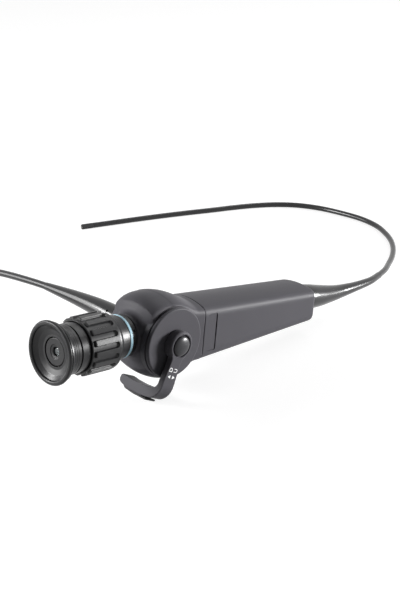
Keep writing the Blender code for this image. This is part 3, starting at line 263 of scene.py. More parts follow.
turnedSteel = turnedFinish("turnedSteel", (0.62, 0.63, 0.64), 0.26, scopeFrame, metallic=1.0)
turnedBrass = turnedFinish("turnedBrass", (0.72, 0.55, 0.28), 0.30, scopeFrame, metallic=1.0)
bearingPlastic = grainFinish("bearingPlastic", (0.76, 0.74, 0.68), 0.5, toneDepth=0.04)
fibreBundle = grainFinish("fibreBundle", (0.35, 0.33, 0.30), 0.5, grainScale=9000.0)
# the window glass is tinted dark grey: painted shade of the unlit inside of the eyepiece, seen through the
# glass
shadeDarkenedGlass = glassFinish("shadeDarkenedGlass", (0.30, 0.34, 0.35))
print("finishes made")


# Mesh helpers

def shaded(mesh, angle):
    mesh.shade_smooth()
    mesh.set_sharp_from_angle(angle=math.radians(angle))


def settle(name, shape, finish, place=None, angle=32.0):
    # a bmesh becomes a finished object at the origin, its place in its mesh
    if place is not None:
        bmesh.ops.transform(shape, matrix=place, verts=shape.verts)
    mesh = bpy.data.meshes.new(name)
    shape.to_mesh(mesh)
    shape.free()
    shaded(mesh, angle)
    mesh.materials.append(finish)
    piece = bpy.data.objects.new(name, mesh)
    bpy.context.scene.collection.objects.link(piece)
    return piece


def cornersFrom(reach, height, *rows):
    # profile corners (out, up, fillet) in millimetres from one reach and height
    return [(reach + out / 1000, height + up / 1000, fillet / 1000) for out, up, fillet in rows]


def softened(corners, closed=False, steps=4):
    # a profile of (radius, height, fillet) corners, with its fillets drawn and lines kept flat beside them
    line = []
    count = len(corners)
    for i, (radius, height, fillet) in enumerate(corners):
        here = Vector((radius, height))
        if fillet == 0 or (not closed and i in (0, count - 1)):
            line.append(here)
            continue
        toBefore = Vector(corners[i - 1][:2]) - here
        toAfter = Vector(corners[(i + 1) % count][:2]) - here
        half = toBefore.angle(toAfter) / 2
        reach = min(fillet / math.tan(half), 0.44 * toBefore.length, 0.44 * toAfter.length)
        fillet = reach * math.tan(half)
        toBefore.normalize()
        toAfter.normalize()
        centre = here + (toBefore + toAfter).normalized() * (fillet / math.sin(half))
        first = here + toBefore * reach - centre
        last = here + toAfter * reach - centre
        turn = first.angle(last)
        line.append(here + toBefore * reach * 1.12)
        for k in range(steps + 1):
            share = k / steps
            line.append(centre + (first * math.sin((1 - share) * turn) + last * math.sin(share * turn))
                        / math.sin(turn))
        line.append(here + toAfter * reach * 1.12)
    return [(point.x, point.y) for point in line]


def latheShape(profile, steps=96, closed=True):
    shape = bmesh.new()
    rows = []
    for radius, height in profile:
        if radius < 1e-6:
            rows.append([shape.verts.new((0.0, 0.0, height))])
            continue
        rows.append([shape.verts.new((radius * math.cos(math.tau * k / steps),
                                      radius * math.sin(math.tau * k / steps), height))
                     for k in range(steps)])
    pairs = list(zip(rows, rows[1:]))
    if closed:
        pairs.append((rows[-1], rows[0]))
    for near, far in pairs:
        if len(near) == 1 and len(far) == 1:
            continue
        for k in range(steps):
            after = (k + 1) % steps
            if len(near) == 1:
                shape.faces.new((near[0], far[after], far[k]))
            elif len(far) == 1:
                shape.faces.new((near[k], near[after], far[0]))
            else:
                shape.faces.new((near[k], near[after], far[after], far[k]))
    bmesh.ops.recalc_face_normals(shape, faces=shape.faces)
    return shape


def drum(radius, low, high, steps):
    return latheShape([(0.0, low), (radius, low), (radius, high), (0.0, high)], steps, closed=False)


def lathe(name, corners, finish, place, steps=96, closed=True, angle=32.0):
    return settle(name, latheShape(softened(corners, closed), steps, closed), finish, place, angle)


def curveAt(before, start, end, after, t):
    # a smooth curve between start and end, at a share of the way
    return 0.5 * (2 * start + (end - before) * t + (2 * before - 5 * start + 4 * end - after) * t * t
                  + (3 * start - before - 3 * end + after) * t ** 3)


def lengthsAlong(line):
    lengths = [0.0]
    for a, b in zip(line, line[1:]):
        lengths.append(lengths[-1] + (Vector(b) - Vector(a)).length)
    return lengths


def spanAt(lengths, goal):
    # the span that a length along a line falls in, and the share of it that is passed
    at = 0
    while at < len(lengths) - 2 and lengths[at + 1] < goal:
        at += 1
    return at, (goal - lengths[at]) / (lengths[at + 1] - lengths[at])


def smoothRoute(points, count):
    # evenly spread points on a smooth curve through the chosen ones
    knots = [Vector(point) for point in points]
    knots = [2 * knots[0] - knots[1]] + knots + [2 * knots[-1] - knots[-2]]
    fine = []
    for around in zip(knots, knots[1:], knots[2:], knots[3:]):
        fine += [curveAt(*around, i / 12) for i in range(12)]
    fine.append(knots[-2])
    lengths = lengthsAlong(fine)
    spans = [spanAt(lengths, lengths[-1] * i / (count - 1)) for i in range(count)]
    return [fine[at].lerp(fine[at + 1], share) for at, share in spans]


def pathLength(points):
    return sum((b - a).length for a, b in zip(points, points[1:]))


def joinRows(shape, rows, around=True):
    # faces between neighbouring rows of points; around closes each row on itself
    for near, far in zip(rows, rows[1:]):
        for k in range(len(near) if around else len(near) - 1):
            after = (k + 1) % len(near)
            shape.faces.new((near[k], near[after], far[after], far[k]))


def skinShape(rows):
    # closed skin through rows of equally many points, flat at both ends
    shape = bmesh.new()
    rows = [[shape.verts.new(point) for point in row] for row in rows]
    joinRows(shape, rows)
    shape.faces.new(list(reversed(rows[0])))
    shape.faces.new(rows[-1])
    bmesh.ops.recalc_face_normals(shape, faces=shape.faces)
    return shape


def plateSolid(outline, low, high):
    # a flat outline raised from one height to another
    return skinShape([[(x, y, height) for x, y in outline] for height in (low, high)])


def bow(centre, radius, first, last, steps):
    turns = [math.radians(first + (last - first) * k / steps) for k in range(steps + 1)]
    return [(centre[0] + radius * math.cos(turn), centre[1] + radius * math.sin(turn)) for turn in turns]


def roundedBox(low, high, corner):
    line = []
    for x, y, start in ((high[0], high[1], 0), (low[0], high[1], 90), (low[0], low[1], 180),
                        (high[0], low[1], 270)):
        centre = (x - math.copysign(corner, x - (low[0] + high[0]) / 2),
                  y - math.copysign(corner, y - (low[1] + high[1]) / 2))
        line += bow(centre, corner, start, start + 90, 6)
    return line


def sweep(name, points, radiusAt, finish, sides=24, angle=50.0):
    # a round tube along points; radiusAt gives its radius at a share of its length
    shape = bmesh.new()
    count = len(points)
    across = (points[1] - points[0]).normalized().orthogonal().normalized()
    rows = []
    for i, point in enumerate(points):
        ahead = points[min(i + 1, count - 1)] - points[max(i - 1, 0)]
        ahead.normalize()
        across = (across - ahead * across.dot(ahead)).normalized()
        other = ahead.cross(across)
        radius = radiusAt(i / (count - 1))
        rows.append([shape.verts.new(point + (across * math.cos(math.tau * k / sides)
                                              + other * math.sin(math.tau * k / sides)) * radius)
                     for k in range(sides)])
    joinRows(shape, rows)
    for row, end in ((rows[0], points[0]), (rows[-1], points[-1])):
        middle = shape.verts.new(end)
        for k in range(sides):
            shape.faces.new((row[k], row[(k + 1) % sides], middle))
    bmesh.ops.recalc_face_normals(shape, faces=shape.faces)
    return settle(name, shape, finish, angle=angle)


def plainMesh(piece):
    # a new mesh of the piece as its modifiers make it
    bpy.context.view_layer.update()
    return bpy.data.meshes.new_from_object(piece.evaluated_get(bpy.context.evaluated_depsgraph_get()))


def applied(piece):
    # the piece with its modifiers made part of its mesh
    mesh = plainMesh(piece)
    piece.modifiers.clear()
    piece.data = mesh
    return mesh


def cutAway(piece, shape, place=None, operation="DIFFERENCE", angle=32.0):
    # takes a shape off a piece, or joins the two
    cutter = settle("cutter", shape, piece.data.materials[0], place)
    step = piece.modifiers.new("cut", "BOOLEAN")
    step.operation = operation
    step.solver = "EXACT"
    step.object = cutter
    shaded(applied(piece), angle)
    bpy.data.objects.remove(cutter, do_unlink=True)


def fit(piece, body, slot, *nodes):
    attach(piece, body)
    if nodes:
        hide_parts(*nodes)
    return piece


def onTable(points):
    foot = Vector((*posture["foot"], 0.0))
    return [Vector(point) + foot for point in points]


def tableFrame(point):
    return Matrix.Translation(onTable([point])[0])


def fromMillimetres(*points):
    return [tuple(value / 1000 for value in point) for point in points]


# Cords: the insertion tube to the right, and the light guide cable, stored as a coil, to the left

tubeLook = {"diameter": 0.0035,
            "boot": (0.0074, 0.0072, 0.0063, 0.0050, 0.0040, 0.0030, 0.0024, 0.00215, 0.0020)}
bootRoute = fromMillimetres(
    (116.5, 0, 16.1), (122.5, 0, 15.0), (132.5, 0, 12.7), (142.9, 0, 10.8), (151.6, 0.1, 9.6),
    (164.5, 0.5, 8.3), (178.5, 1.8, 6.9), (186.0, 3.2, 6.2), (195.8, 6.3, 5.3))
# the tube comes down from its boot, then lies on the surface
tubeRoute = fromMillimetres(
    (195.8, 6.3, 5.3), (208.0, 11.2, 4.0), (219.8, 17.8, 2.7), (230.8, 24.1, 2.0),
    *((x, y, 1.76) for x, y in (
        (240.5, 30.7), (247.3, 36.4), (254.7, 44.0), (261.7, 53.7), (268.7, 67.0), (272.1, 83.0),
        (271.3, 99.9), (268.2, 116.8), (261.9, 131.3), (252.6, 142.6), (240.5, 151.8), (227.0, 159.3),
        (212.8, 166.0), (199.0, 172.9), (184.9, 179.6), (170.0, 186.2), (161.5, 189.8))))
cableLook = {"diameter": 0.0040, "boot": (0.0064, 0.0022), "coilMiddle": (-0.02885, 0.2310), "lift": 0.0010,
             "pitch": 0.0041, "turns": (0.02965, 0.02555, 0.02145, 0.01735)}
lightBootRoute = fromMillimetres(
    (3.7, 21.0, 30.2), (3.7, 24.0, 30.3), (3.7, 31.0, 31.0), (3.7, 40.0, 31.6), (3.7, 50.0, 31.8),
    (3.7, 62.0, 31.7), (3.6, 74.0, 31.4), (3.6, 85.0, 31.0))
cableRoute = fromMillimetres(
    (3.6, 85.0, 31.0), (3.4, 94.0, 30.5), (3.2, 103.0, 29.8), (3.0, 114.0, 28.8), (2.7, 126.0, 27.4),
    (2.2, 139.0, 25.2), (1.6, 151.0, 22.3), (1.0, 163.0, 18.4), (0.4, 174.0, 14.2), (0.1, 185.0, 10.0),
    (0.1, 196.0, 6.4), (0.4, 206.0, 4.1), (0.8, 215.0, 3.1))
cableEndRoute = fromMillimetres(
    (-58.5, 215.0, 7.1), (-58.9, 209.0, 6.9), (-59.4, 203.0, 7.0), (-59.8, 196.0, 7.6), (-60.0, 190.0, 8.1))


def radiusTable(route, radii):
    # radius at a share of the length, on a smooth curve through the radii of the route's own points
    marks = lengthsAlong(route)

    def read(share):
        at, passed = spanAt(marks, marks[-1] * share)
        around = (radii[min(max(at + k, 0), len(radii) - 1)] for k in (-1, 0, 1, 2))
        return curveAt(*around, max(0.0, min(1.0, passed)))

    return read


def eased(share):
    share = max(0.0, min(1.0, share))
    return share * share * (3 - 2 * share)


def coilPath():
    # bottom layer inwards, then top layer outwards; each turn shifts in one sector, to lie beside the last
    middle = Vector((*cableLook["coilMiddle"], 0.0))
    low = cableLook["lift"] + cableLook["pitch"] / 2
    radii = list(cableLook["turns"]) + list(reversed(cableLook["turns"]))
    line = []
    for i in range(271):
        angle = math.radians(10 * i)
        turn = int(angle / math.tau)
        inTurn = angle / math.tau - turn
        shift = eased((inTurn - 0.84) / 0.16)
        radius = radii[turn] + (radii[min(turn + 1, 7)] - radii[turn]) * shift
        height = low + cableLook["pitch"] * ((turn > 3) + (turn == 3) * eased((inTurn - 0.64) / 0.20))
        line.append(middle + Vector((radius * math.cos(angle), radius * math.sin(angle), height)))
    return line


def makeCords():
    bootLine = smoothRoute(onTable(bootRoute), 60)
    boot = sweep("insertionBootSkin", bootLine, radiusTable(bootRoute, tubeLook["boot"]), glossSheath, 48)
    fit(boot, "scope", "gloss_black", "insertion_boot")
    tubeLine = smoothRoute(onTable(tubeRoute), 80)
    tube = sweep("insertionTubeSheath", tubeLine, lambda share: tubeLook["diameter"] / 2, glossSheath, 24)
    fit(tube, "scope", "gloss_black", "insertion_tube")
    wide, slim = cableLook["boot"]
    lightBoot = sweep("lightBootSkin", smoothRoute(onTable(lightBootRoute), 30),
                      lambda share: wide + (slim - wide) * share, glossSheath, 48)
    cutAway(lightBoot, drum(0.0007, wide - 0.0018, wide + 0.0010, 24),
            tableFrame((0.0037, 0.0300, 0.0311)) @ turnBy(-50, "Y"), angle=50.0)
    fit(lightBoot, "scope", "gloss_black", "light_guide_boot")
    cableLine = (smoothRoute(onTable(cableRoute), 40) + onTable(coilPath())
                 + smoothRoute(onTable(cableEndRoute), 12))
    cable = sweep("lightCableSheath", cableLine, lambda share: cableLook["diameter"] / 2, glossSheath, 16)
    fit(cable, "scope", "gloss_black", "light_guide_cable", "cable_coil", "light_guide_cable_end")
    return tube, tubeLine, cable, cableLine


tube, tubeLine, cable, cableLine = makeCords()
print("cords laid:", round(pathLength(tubeLine), 4), "m and", round(pathLength(cableLine), 4), "m")


# Eyepiece: cup, window, barrel and diopter ring, turned about the scope's axis; heights run towards the eye

cupLook = {"radius": 0.0162, "front": 0.0643, "dish": 0.0139, "window": 0.0072, "pupil": 0.0022}


def makeEyepiece():
    front, radius, dish, window = (cupLook[key] for key in ("front", "radius", "dish", "window"))
    floor = front - 0.0036
    cup = lathe(
        "eyepieceCup",
        cornersFrom(window, floor, (0.3, -0.4, 0), (0.3, 0, 0.1), (1.6, 0, 0.6))
        + cornersFrom(dish, front, (-2.4, -2.7, 1.2), (-0.2, -1.2, 0.4), (0, -0.4, 0.2), (0.5, 0, 0.4))
        + cornersFrom(radius, front, (-0.7, 0, 0.6), (0, -0.7, 0.4), (0, -1.4, 0.3), (-0.7, -1.8, 0.2),
                      (-1.3, -1.9, 0.1), (-1.3, -2.4, 0.1), (-0.8, -2.5, 0.2), (-0.9, -3.4, 0.6),
                      (-2.2, -4.8, 1.0))
        + cornersFrom(0, front, (13.4, -5.8, 0.2), (12.9, -6.1, 0.1), (12.9, -7.1, 0))
        + cornersFrom(window, front, (-0.9, -7.1, 0), (-0.9, -6.6, 0), (0.3, -6.6, 0)),
        eyepieceBlack, toEye, 128)
    fit(cup, "eyepiece", "eyepiece_black", "eyepiece_cup")
    pupil = cupLook["pupil"]
    windowRing = lathe(
        "eyeWindowRing",
        cornersFrom(pupil, floor, (0, -1.2, 0.1), (0.3, -0.8, 0.2), (1.4, -0.6, 0.2), (1.6, -0.3, 0.1))
        + cornersFrom(window, floor, (-0.4, -0.2, 0.3), (0, -0.6, 0.1), (0, -2.6, 0))
        + cornersFrom(pupil, floor, (0, -2.6, 0)),
        eyepieceBlack, toEye, 96)
    fit(windowRing, "eyepiece", "eyepiece_black", "eye_window_ring")
    glass = lathe(
        "eyeWindowGlass",
        cornersFrom(0, floor, (0, -1.3, 0))
        + cornersFrom(pupil, floor, (-0.4, -1.6, 0.2), (-0.3, -2.6, 0.1))
        + cornersFrom(0, floor, (0, -2.7, 0)),
        shadeDarkenedGlass, toEye, 48, closed=False)
    fit(glass, "eyepiece", "lens_glass", "eye_window_glass")
    barrel = lathe(
        "eyepieceBarrel",
        cornersFrom(0, 0, (8.2, 56.9, 0), (12.6, 56.9, 0.2), (12.6, 55.7, 0.1), (12.7, 55.6, 0.1),
                    (12.7, 54.0, 0.2), (11.9, 54.0, 0.1), (11.9, 53.2, 0.1), (12.7, 53.2, 0.2),
                    (12.7, 50.0, 0.2), (12.6, 49.8, 0.1), (12.6, 46.1, 0), (11.6, 46.1, 0), (11.6, 35.5, 0),
                    (9.8, 35.5, 0), (9.8, 54.9, 0), (8.2, 54.9, 0)),
        eyepieceBlack, toEye, 128)
    fit(barrel, "eyepiece", "eyepiece_black", "eyepiece_barrel")


makeEyepiece()


# Diopter ring: one rib with half a groove at each side, repeated about the axis by geometry nodes

ringLook = {"radius": 0.0150, "front": 0.0480, "ribsBack": 0.0318, "ribs": 16, "groove": 0.0028,
            "depth": 0.0011}


def ringReach(height):
    # outer profile of the ring without its grooves
    front, back = ringLook["front"], ringLook["ribsBack"]
    line = [(back + up / 1000, out / 1000) for up, out in (
        (-10.3, 11.4), (-5.5, 12.1), (-5.0, 12.2), (-4.4, 12.5), (-2.9, 14.3), (-2.3, 14.7), (-1.7, 14.9),
        (-1.0, 15.0))]
    line += [(front + up / 1000, out / 1000) for up, out in (
        (-1.8, 15.0), (-1.5, 14.8), (-1.4, 13.9), (-0.3, 13.9), (0, 13.6))]
    for (lowHeight, lowReach), (highHeight, highReach) in zip(line, line[1:]):
        if height <= highHeight:
            return lowReach + (highReach - lowReach) * (height - lowHeight) / (highHeight - lowHeight)
    return line[-1][1]


def ribSector():
    # grid over one rib: columns about the axis, rows along it
    front, back = ringLook["front"], ringLook["ribsBack"]
    half = ringLook["groove"] / 2
    soft = 0.00022
    span = math.tau / ringLook["ribs"]
    pitch = span * ringLook["radius"]
    columns = [0.0, 0.18, 0.44, 0.47, 0.5]
    columns += [0.5 - (half + soft * k) / pitch for k in (-1.6, -1, -0.5, 0, 0.5, 1, 1.8)]
    columns = sorted({round(side * value, 5) for value in columns for side in (1, -1)})
    marks = [back + up / 1000 for up in (-10.3, -10.1, -5.5, -5.0, -4.4, -3.6, -2.9, -2.3, -1.7, -1.0)]
    marks += [back - 0.0008 + 0.00016 * k for k in range(18)]
    marks += [back + 0.0030, back + 0.0070]
    marks += [front + up / 1000 for up in (-4.0, -2.2, -1.8, -1.65, -1.5, -1.45, -1.4, -0.8, -0.3, -0.1, 0)]
    rows = []
    shape = bmesh.new()
    for height in marks:
        row = []
        for column in columns:
            reach = ringReach(height)
            side = (0.5 - abs(column)) * pitch
            past = max(0.0, back + half - height)
            off = math.hypot(side, past) - half
            share = 1.0 - eased(0.5 + off / (2 * soft))
            deep = max(reach - (ringLook["radius"] - ringLook["depth"]), 0.0)
            reach -= share * deep
            angle = column * span
            row.append(shape.verts.new((reach * math.cos(angle), reach * math.sin(angle), height)))
        rows.append(row)
    joinRows(shape, rows, around=False)
    mesh = bpy.data.meshes.new("ribSector")
    shape.to_mesh(mesh)
    shape.free()
    return mesh


def roundTree():
    # repeats the incoming mesh about Z and joins the copies
    tree, start, end = newGroup(
        "repeatAboutAxis",
        [("Geometry", "Geometry", None), ("Count", "Int", None), ("Finish", "Material", None)],
        [("Geometry", "Geometry")], "GeometryNodeTree")
    count = start.outputs["Count"]
    line = treeNode(tree, "GeometryNodeMeshLine", {"Count": count}, Offset=(0.0, 0.0, 0.0))
    index = tree.nodes.new("GeometryNodeInputIndex")
    turn = mathNode(tree, "MULTIPLY", index.outputs[0], mathNode(tree, "DIVIDE", math.tau, count))
    spin = treeNode(tree, "ShaderNodeCombineXYZ", {"Z": turn})
    copies = treeNode(tree, "GeometryNodeInstanceOnPoints", {
        "Points": line.outputs[0], "Instance": start.outputs["Geometry"], "Rotation": spin.outputs[0]})
    real = treeNode(tree, "GeometryNodeRealizeInstances", {"Geometry": copies.outputs[0]})
    merge = treeNode(tree, "GeometryNodeMergeByDistance", {"Geometry": real.outputs[0]}, Distance=0.00001)
    finish = treeNode(tree, "GeometryNodeSetMaterial",
                      {"Geometry": merge.outputs[0], "Material": start.outputs["Finish"]})
    tree.links.new(finish.outputs[0], end.inputs[0])
    return tree


repeatAboutAxis = roundTree()


def grown(name, mesh, tree, values):
    # runs a geometry tree on a mesh and hands back the plain result as a bmesh
    seed = bpy.data.objects.new(name, mesh)
    bpy.context.scene.collection.objects.link(seed)
    step = seed.modifiers.new("grow", "NODES")
    step.node_group = tree
    for item in tree.interface.items_tree:
        if item.in_out == "INPUT" and item.name in values:
            step[item.identifier] = values[item.name]
    result = plainMesh(seed)
    seed.modifiers.remove(step)
    bpy.data.objects.remove(seed, do_unlink=True)
    shape = bmesh.new()
    shape.from_mesh(result)
    bpy.data.meshes.remove(result)
    return shape


def pullRing(shape, loop, reach, height):
    # carries an open edge loop to a new radius and height, and hands back the new loop
    made = bmesh.ops.extrude_edge_only(shape, edges=loop)["geom"]
    corners = {item for item in made if isinstance(item, bmesh.types.BMVert)}
    for vert in corners:
        side = Vector((vert.co.x, vert.co.y)).normalized()
        vert.co = (side.x * reach, side.y * reach, height)
    return [item for item in made if isinstance(item, bmesh.types.BMEdge)
            and item.verts[0] in corners and item.verts[1] in corners]


def makeDiopterRing():
    shape = grown("ribSeed", ribSector(), repeatAboutAxis, {"Count": ringLook["ribs"], "Finish": ribBlack})
    front, back = ringLook["front"], ringLook["ribsBack"]
    edges = [edge for edge in shape.edges if edge.is_boundary]
    frontLoop = [edge for edge in edges if edge.verts[0].co.z > front - 0.0001]
    backLoop = [edge for edge in edges if edge.verts[0].co.z < back - 0.0102]
    bore = [(0.0130, front), (0.0130, 0.0445), (0.0119, 0.0445), (0.0119, 0.0338), (0.0096, 0.0338),
            (0.0096, back - 0.0103)]
    for reach, height in bore:
        frontLoop = pullRing(shape, frontLoop, reach, height)
    pullRing(shape, backLoop, 0.0096, back - 0.0103)
    bmesh.ops.remove_doubles(shape, verts=shape.verts, dist=0.00002)
    bmesh.ops.recalc_face_normals(shape, faces=shape.faces)
    ring = settle("diopterRing", shape, ribBlack, toEye, 40.0)
    fit(ring, "diopter", "eyepiece_black", "diopter_ring")
    dot = lathe("indexDotFill", cornersFrom(0, 0, (0, 15.2, 0), (0.85, 15.15, 0.1), (0.95, 15.0, 0.1),
                                            (0.95, 14.6, 0), (0, 14.6, 0)),
                markWhite, scopeFrame @ moveBy(-(back - 0.0009), 0.0, 0.0), 32, closed=False)
    fit(dot, "diopter", "index_white", "index_dot")


makeDiopterRing()
print("eyepiece made")


# Collar and light blue ring behind the diopter ring

def makeCollar():
    blue = lathe("blueRing", cornersFrom(0, 0, (9.6, 21.0, 0), (11.3, 21.0, 0.2), (11.3, 19.4, 0.2),
                                         (9.6, 19.4, 0)), paleBlue, toEye, 128)
    fit(blue, "scope", "light_blue", "blue_ring")
    collar = lathe("eyepieceCollar", cornersFrom(0, 0, (9.6, 19.1, 0), (10.9, 19.1, 0.2), (10.9, 16.4, 0.3),
                                                 (9.6, 16.4, 0)), eyepieceBlack, toEye, 128)
    screwFrame = scopeFrame @ moveBy(-0.0178, 0.0, 0.0) @ turnBy(60, "X")
    cutAway(collar, drum(0.0009, 0.0085, 0.0125, 32), screwFrame)
    fit(collar, "scope", "eyepiece_black", "eyepiece_collar")
    screw = lathe("collarSetScrew", cornersFrom(0, 0, (0, 10.1, 0), (0.35, 10.1, 0), (0.35, 10.4, 0),
                                                (0.7, 10.4, 0.1), (0.7, 9.7, 0), (0, 9.7, 0)),
                  padRubber, screwFrame, 24, closed=False)
    fit(screw, "scope", "steel", "collar_set_screw")


makeCollar()


# Control body and grip share one family of crowned sections

bodyLook = {"radius": 0.0225, "flatness": 0.685, "side": 0.0145, "neck": 0.0108, "neckEnd": -0.0159,
            "neckFlat": 0.0010, "neckFillet": 0.0042, "seam": 0.0270, "seat": 0.0188, "farFace": 0.0172,
            "farRadius": 0.0176}
gripLook = {"end": 0.1168, "top": (0.0128, 0.0061), "bottom": (-0.0199, -0.0147), "side": (0.01475, 0.0134),
            "flatness": (0.442, 0.240), "edge": 0.0042, "round": 0.0024, "plate": (0.0331, -0.0034),
            "plateSize": (0.0068, 0.0204), "plateDepth": 0.0006}


def blendLow(a, b, width):
    share = max(0.0, min(1.0, 0.5 + 0.5 * (b - a) / width))
    return b + (a - b) * share - width * share * (1.0 - share)


def between(pair, share):
    return pair[0] + (pair[1] - pair[0]) * share


def crown(half, flatness, angle):
    return half / math.sqrt(math.sin(angle) ** 2 + flatness * math.cos(angle) ** 2)


def sideLimit(side, angle):
    return side / max(abs(math.cos(angle)), 0.001)


def gripShare(x):
    return (x - bodyLook["seam"]) / (gripLook["end"] - bodyLook["seam"])


def gripCrown(x, angle):
    share = gripShare(x)
    half = (between(gripLook["top"], share) - between(gripLook["bottom"], share)) / 2
    return crown(half, between(gripLook["flatness"], share), angle)


def gripReach(x, angle):
    return blendLow(gripCrown(x, angle), sideLimit(between(gripLook["side"], gripShare(x)), angle),
                    gripLook["edge"])


def bodyReach(x, angle):
    hubX = posture["hub"][0]
    skin = bodyLook["side"] - 0.0003
    puck = crown(math.sqrt(max(bodyLook["radius"] ** 2 - (x - hubX) ** 2, 0.0)), bodyLook["flatness"], angle)
    if x > hubX:
        share = (x - hubX) / (bodyLook["seam"] - hubX)
        side = sideLimit(skin + (gripLook["side"][0] - skin) * share, angle)
        return blendLow(-blendLow(-puck, -gripCrown(x, angle), 0.0060), side, 0.0030)
    puck = blendLow(puck, sideLimit(skin, angle), 0.0030)
    neck, fillet = bodyLook["neck"], bodyLook["neckFillet"]
    along = (x - bodyLook["neckEnd"] - bodyLook["neckFlat"]) / fillet
    if along <= 0.0:
        return neck
    rise = neck + fillet * (1.0 - math.sqrt(max(0.0, 1.0 - along ** 2)))
    if along >= 1.0:
        rise = neck + fillet + (along - 1.0) * 8 * fillet
    return -blendLow(-neck, -blendLow(puck, rise, 0.0020), 0.0010)


def sectionMiddle(x):
    hubX, hubZ = posture["hub"][0], posture["hub"][2]
    share = max(0.0, min(1.0, (x - bodyLook["neckEnd"]) / (hubX - bodyLook["neckEnd"])))
    if x < hubX:
        return hubZ * eased(share)
    middle = (between(gripLook["top"], gripShare(x)) + between(gripLook["bottom"], gripShare(x))) / 2
    return hubZ + (middle - hubZ) * min(1.0, (x - hubX) / (bodyLook["seam"] - hubX))


def loftShape(stations, reachAt, count=144):
    # closed skin through the sections at (x, inset) stations, with pinched ends
    angles = [math.tau * (k + 0.5) / count for k in range(count)]
    rows = []
    for x, inset in stations:
        reaches = [max(reachAt(x, angle) - inset, 0.0002) for angle in angles]
        rows.append([(x, reach * math.cos(angle), sectionMiddle(x) + reach * math.sin(angle))
                     for reach, angle in zip(reaches, angles)])
    return skinShape(rows)


def makeControlBody():
    first, seam, seat = bodyLook["neckEnd"], bodyLook["seam"], bodyLook["seat"]
    stations = [(first, 0.0003), (first + 0.0002, 0.0)]
    stations += [(first + 0.0005 + (seam - 0.0003 - first - 0.0005) * i / 84, 0.0) for i in range(85)]
    stations += [(seam, 0.0002)]
    body = settle("controlBodySkin", loftShape(stations, bodyReach), housing, scopeFrame)
    cutAway(body, drum(seat, 0.0115, 0.0145, 128), toLeverSide, "UNION")
    far, face = bodyLook["farRadius"], bodyLook["farFace"]
    dome = softened([(0.0, face, 0), (far - 0.0036, face, 0.0030), (far, face - 0.0022, 0.0014),
                     (far, 0.0115, 0), (0.0, 0.0115, 0)])
    cutAway(body, latheShape(dome, 128, closed=False), toFarSide, "UNION")
    cutAway(body, drum(0.0096, 0.0060, 0.0170, 96), toEye)
    fit(body, "scope", "housing_grey", "control_body")


def makeGrip():
    first = bodyLook["seam"] + 0.0003
    end, soft = gripLook["end"], gripLook["round"]
    stations = [(first, 0.0002), (first + 0.0002, 0.00003), (first + 0.0004, 0.0)]
    stations += [(first + 0.0010 + (end - soft - first - 0.0010) * i / 40, 0.0) for i in range(41)]
    stations += [(end - soft + soft * math.sin(math.radians(a)), soft * (1 - math.cos(math.radians(a))))
                 for a in (8, 16, 24, 32, 40, 48, 56, 64, 72, 80, 90)]
    grip = settle("gripSkin", loftShape(stations, gripReach), housing, scopeFrame)
    plateX, plateZ = gripLook["plate"]
    width, height = gripLook["plateSize"]
    face = between(gripLook["side"], gripShare(plateX))
    plateFrame = (scopeFrame @ moveBy(plateX, -(face - gripLook["plateDepth"]), plateZ)
                  @ turnBy(90, "X"))
    cutAway(grip, plateShape(width, height, 0.0010, 0.0030), plateFrame)
    fit(grip, "scope", "housing_grey", "grip_housing")
    bare = settle("namePlateBare", plateShape(width - 0.0005, height - 0.0005, 0.0008, 0.00015), housing,
                  plateFrame @ moveBy(0.0, 0.0, 0.00002))
    fit(bare, "scope", "housing_grey", "name_plate")


def plateShape(width, height, corner, thickness):
    # an upright plate with round corners, from its own plane up
    outline = roundedBox((-width / 2, -height / 2), (width / 2, height / 2), corner)
    return plateSolid(outline, 0.0, thickness)


makeControlBody()
makeGrip()
print("body and grip made")


# Side cover, lever with its cap, marks and rubber pads

coverLook = {"radius": 0.0186, "face": 0.0170, "back": 0.0148}
leverLook = {"hub": 0.0076, "face": 0.0221, "recess": 0.0060, "floor": 0.0212, "cap": 0.0052, "arm": 0.0084,
             "thick": 0.0034, "inner": 0.0253, "outer": 0.0309, "end": 0.0073, "elbow": 0.0088,
             "fillet": 0.0030}


def makeSideCover():
    radius, face, back = coverLook["radius"], coverLook["face"], coverLook["back"]
    cover = lathe("sideCoverSkin", [
        (0.0044, back - 0.0024, 0), (0.0044, face, 0.0002), (radius - 0.0002, face, 0.0019),
        (radius, back + 0.0004, 0.0002), (radius - 0.0008, back, 0.0002), (0.0152, back, 0),
        (0.0152, back - 0.0024, 0)], housing, toLeverSide, 144)
    fit(cover, "scope", "housing_grey", "side_cover")
    seal = lathe("shaftSealRing", [(0.0026, face - 0.0015, 0), (0.0026, face - 0.0005, 0.0002),
                                   (0.0041, face - 0.0003, 0.0002), (0.0041, face - 0.0015, 0)],
                 padRubber, toLeverSide, 64)
    fit(seal, "scope", "soft_black", "shaft_seal")


makeSideCover()


def restLine():
    # the lever seen from the side: x is the distance out of the scope's middle plane, y is up the arm
    face, outer, inner, end = (leverLook[key] for key in ("face", "outer", "inner", "end"))
    back = face - leverLook["thick"]
    elbow = leverLook["elbow"]
    line = [(-face, 0.0)] + bow((-face + elbow, -outer + elbow + 0.0005), elbow, 180, 262, 18)
    line += [(-0.0080, -outer), (-0.0020, -outer + 0.0002), (0.0030, -outer + 0.0010),
             (end - 0.0014, -outer + 0.0019), (end - 0.0003, -outer + 0.0028), (end, -outer + 0.0040),
             (end - 0.0004, -inner + 0.0004), (end - 0.0016, -inner + 0.0009), (0.0010, -inner + 0.0003),
             (-0.0050, -inner), (-0.0100, -inner + 0.0002)]
    line += bow((-back + 0.0042, -inner + 0.0046), 0.0042, 250, 180, 10)
    return line + [(-back, 0.0)]


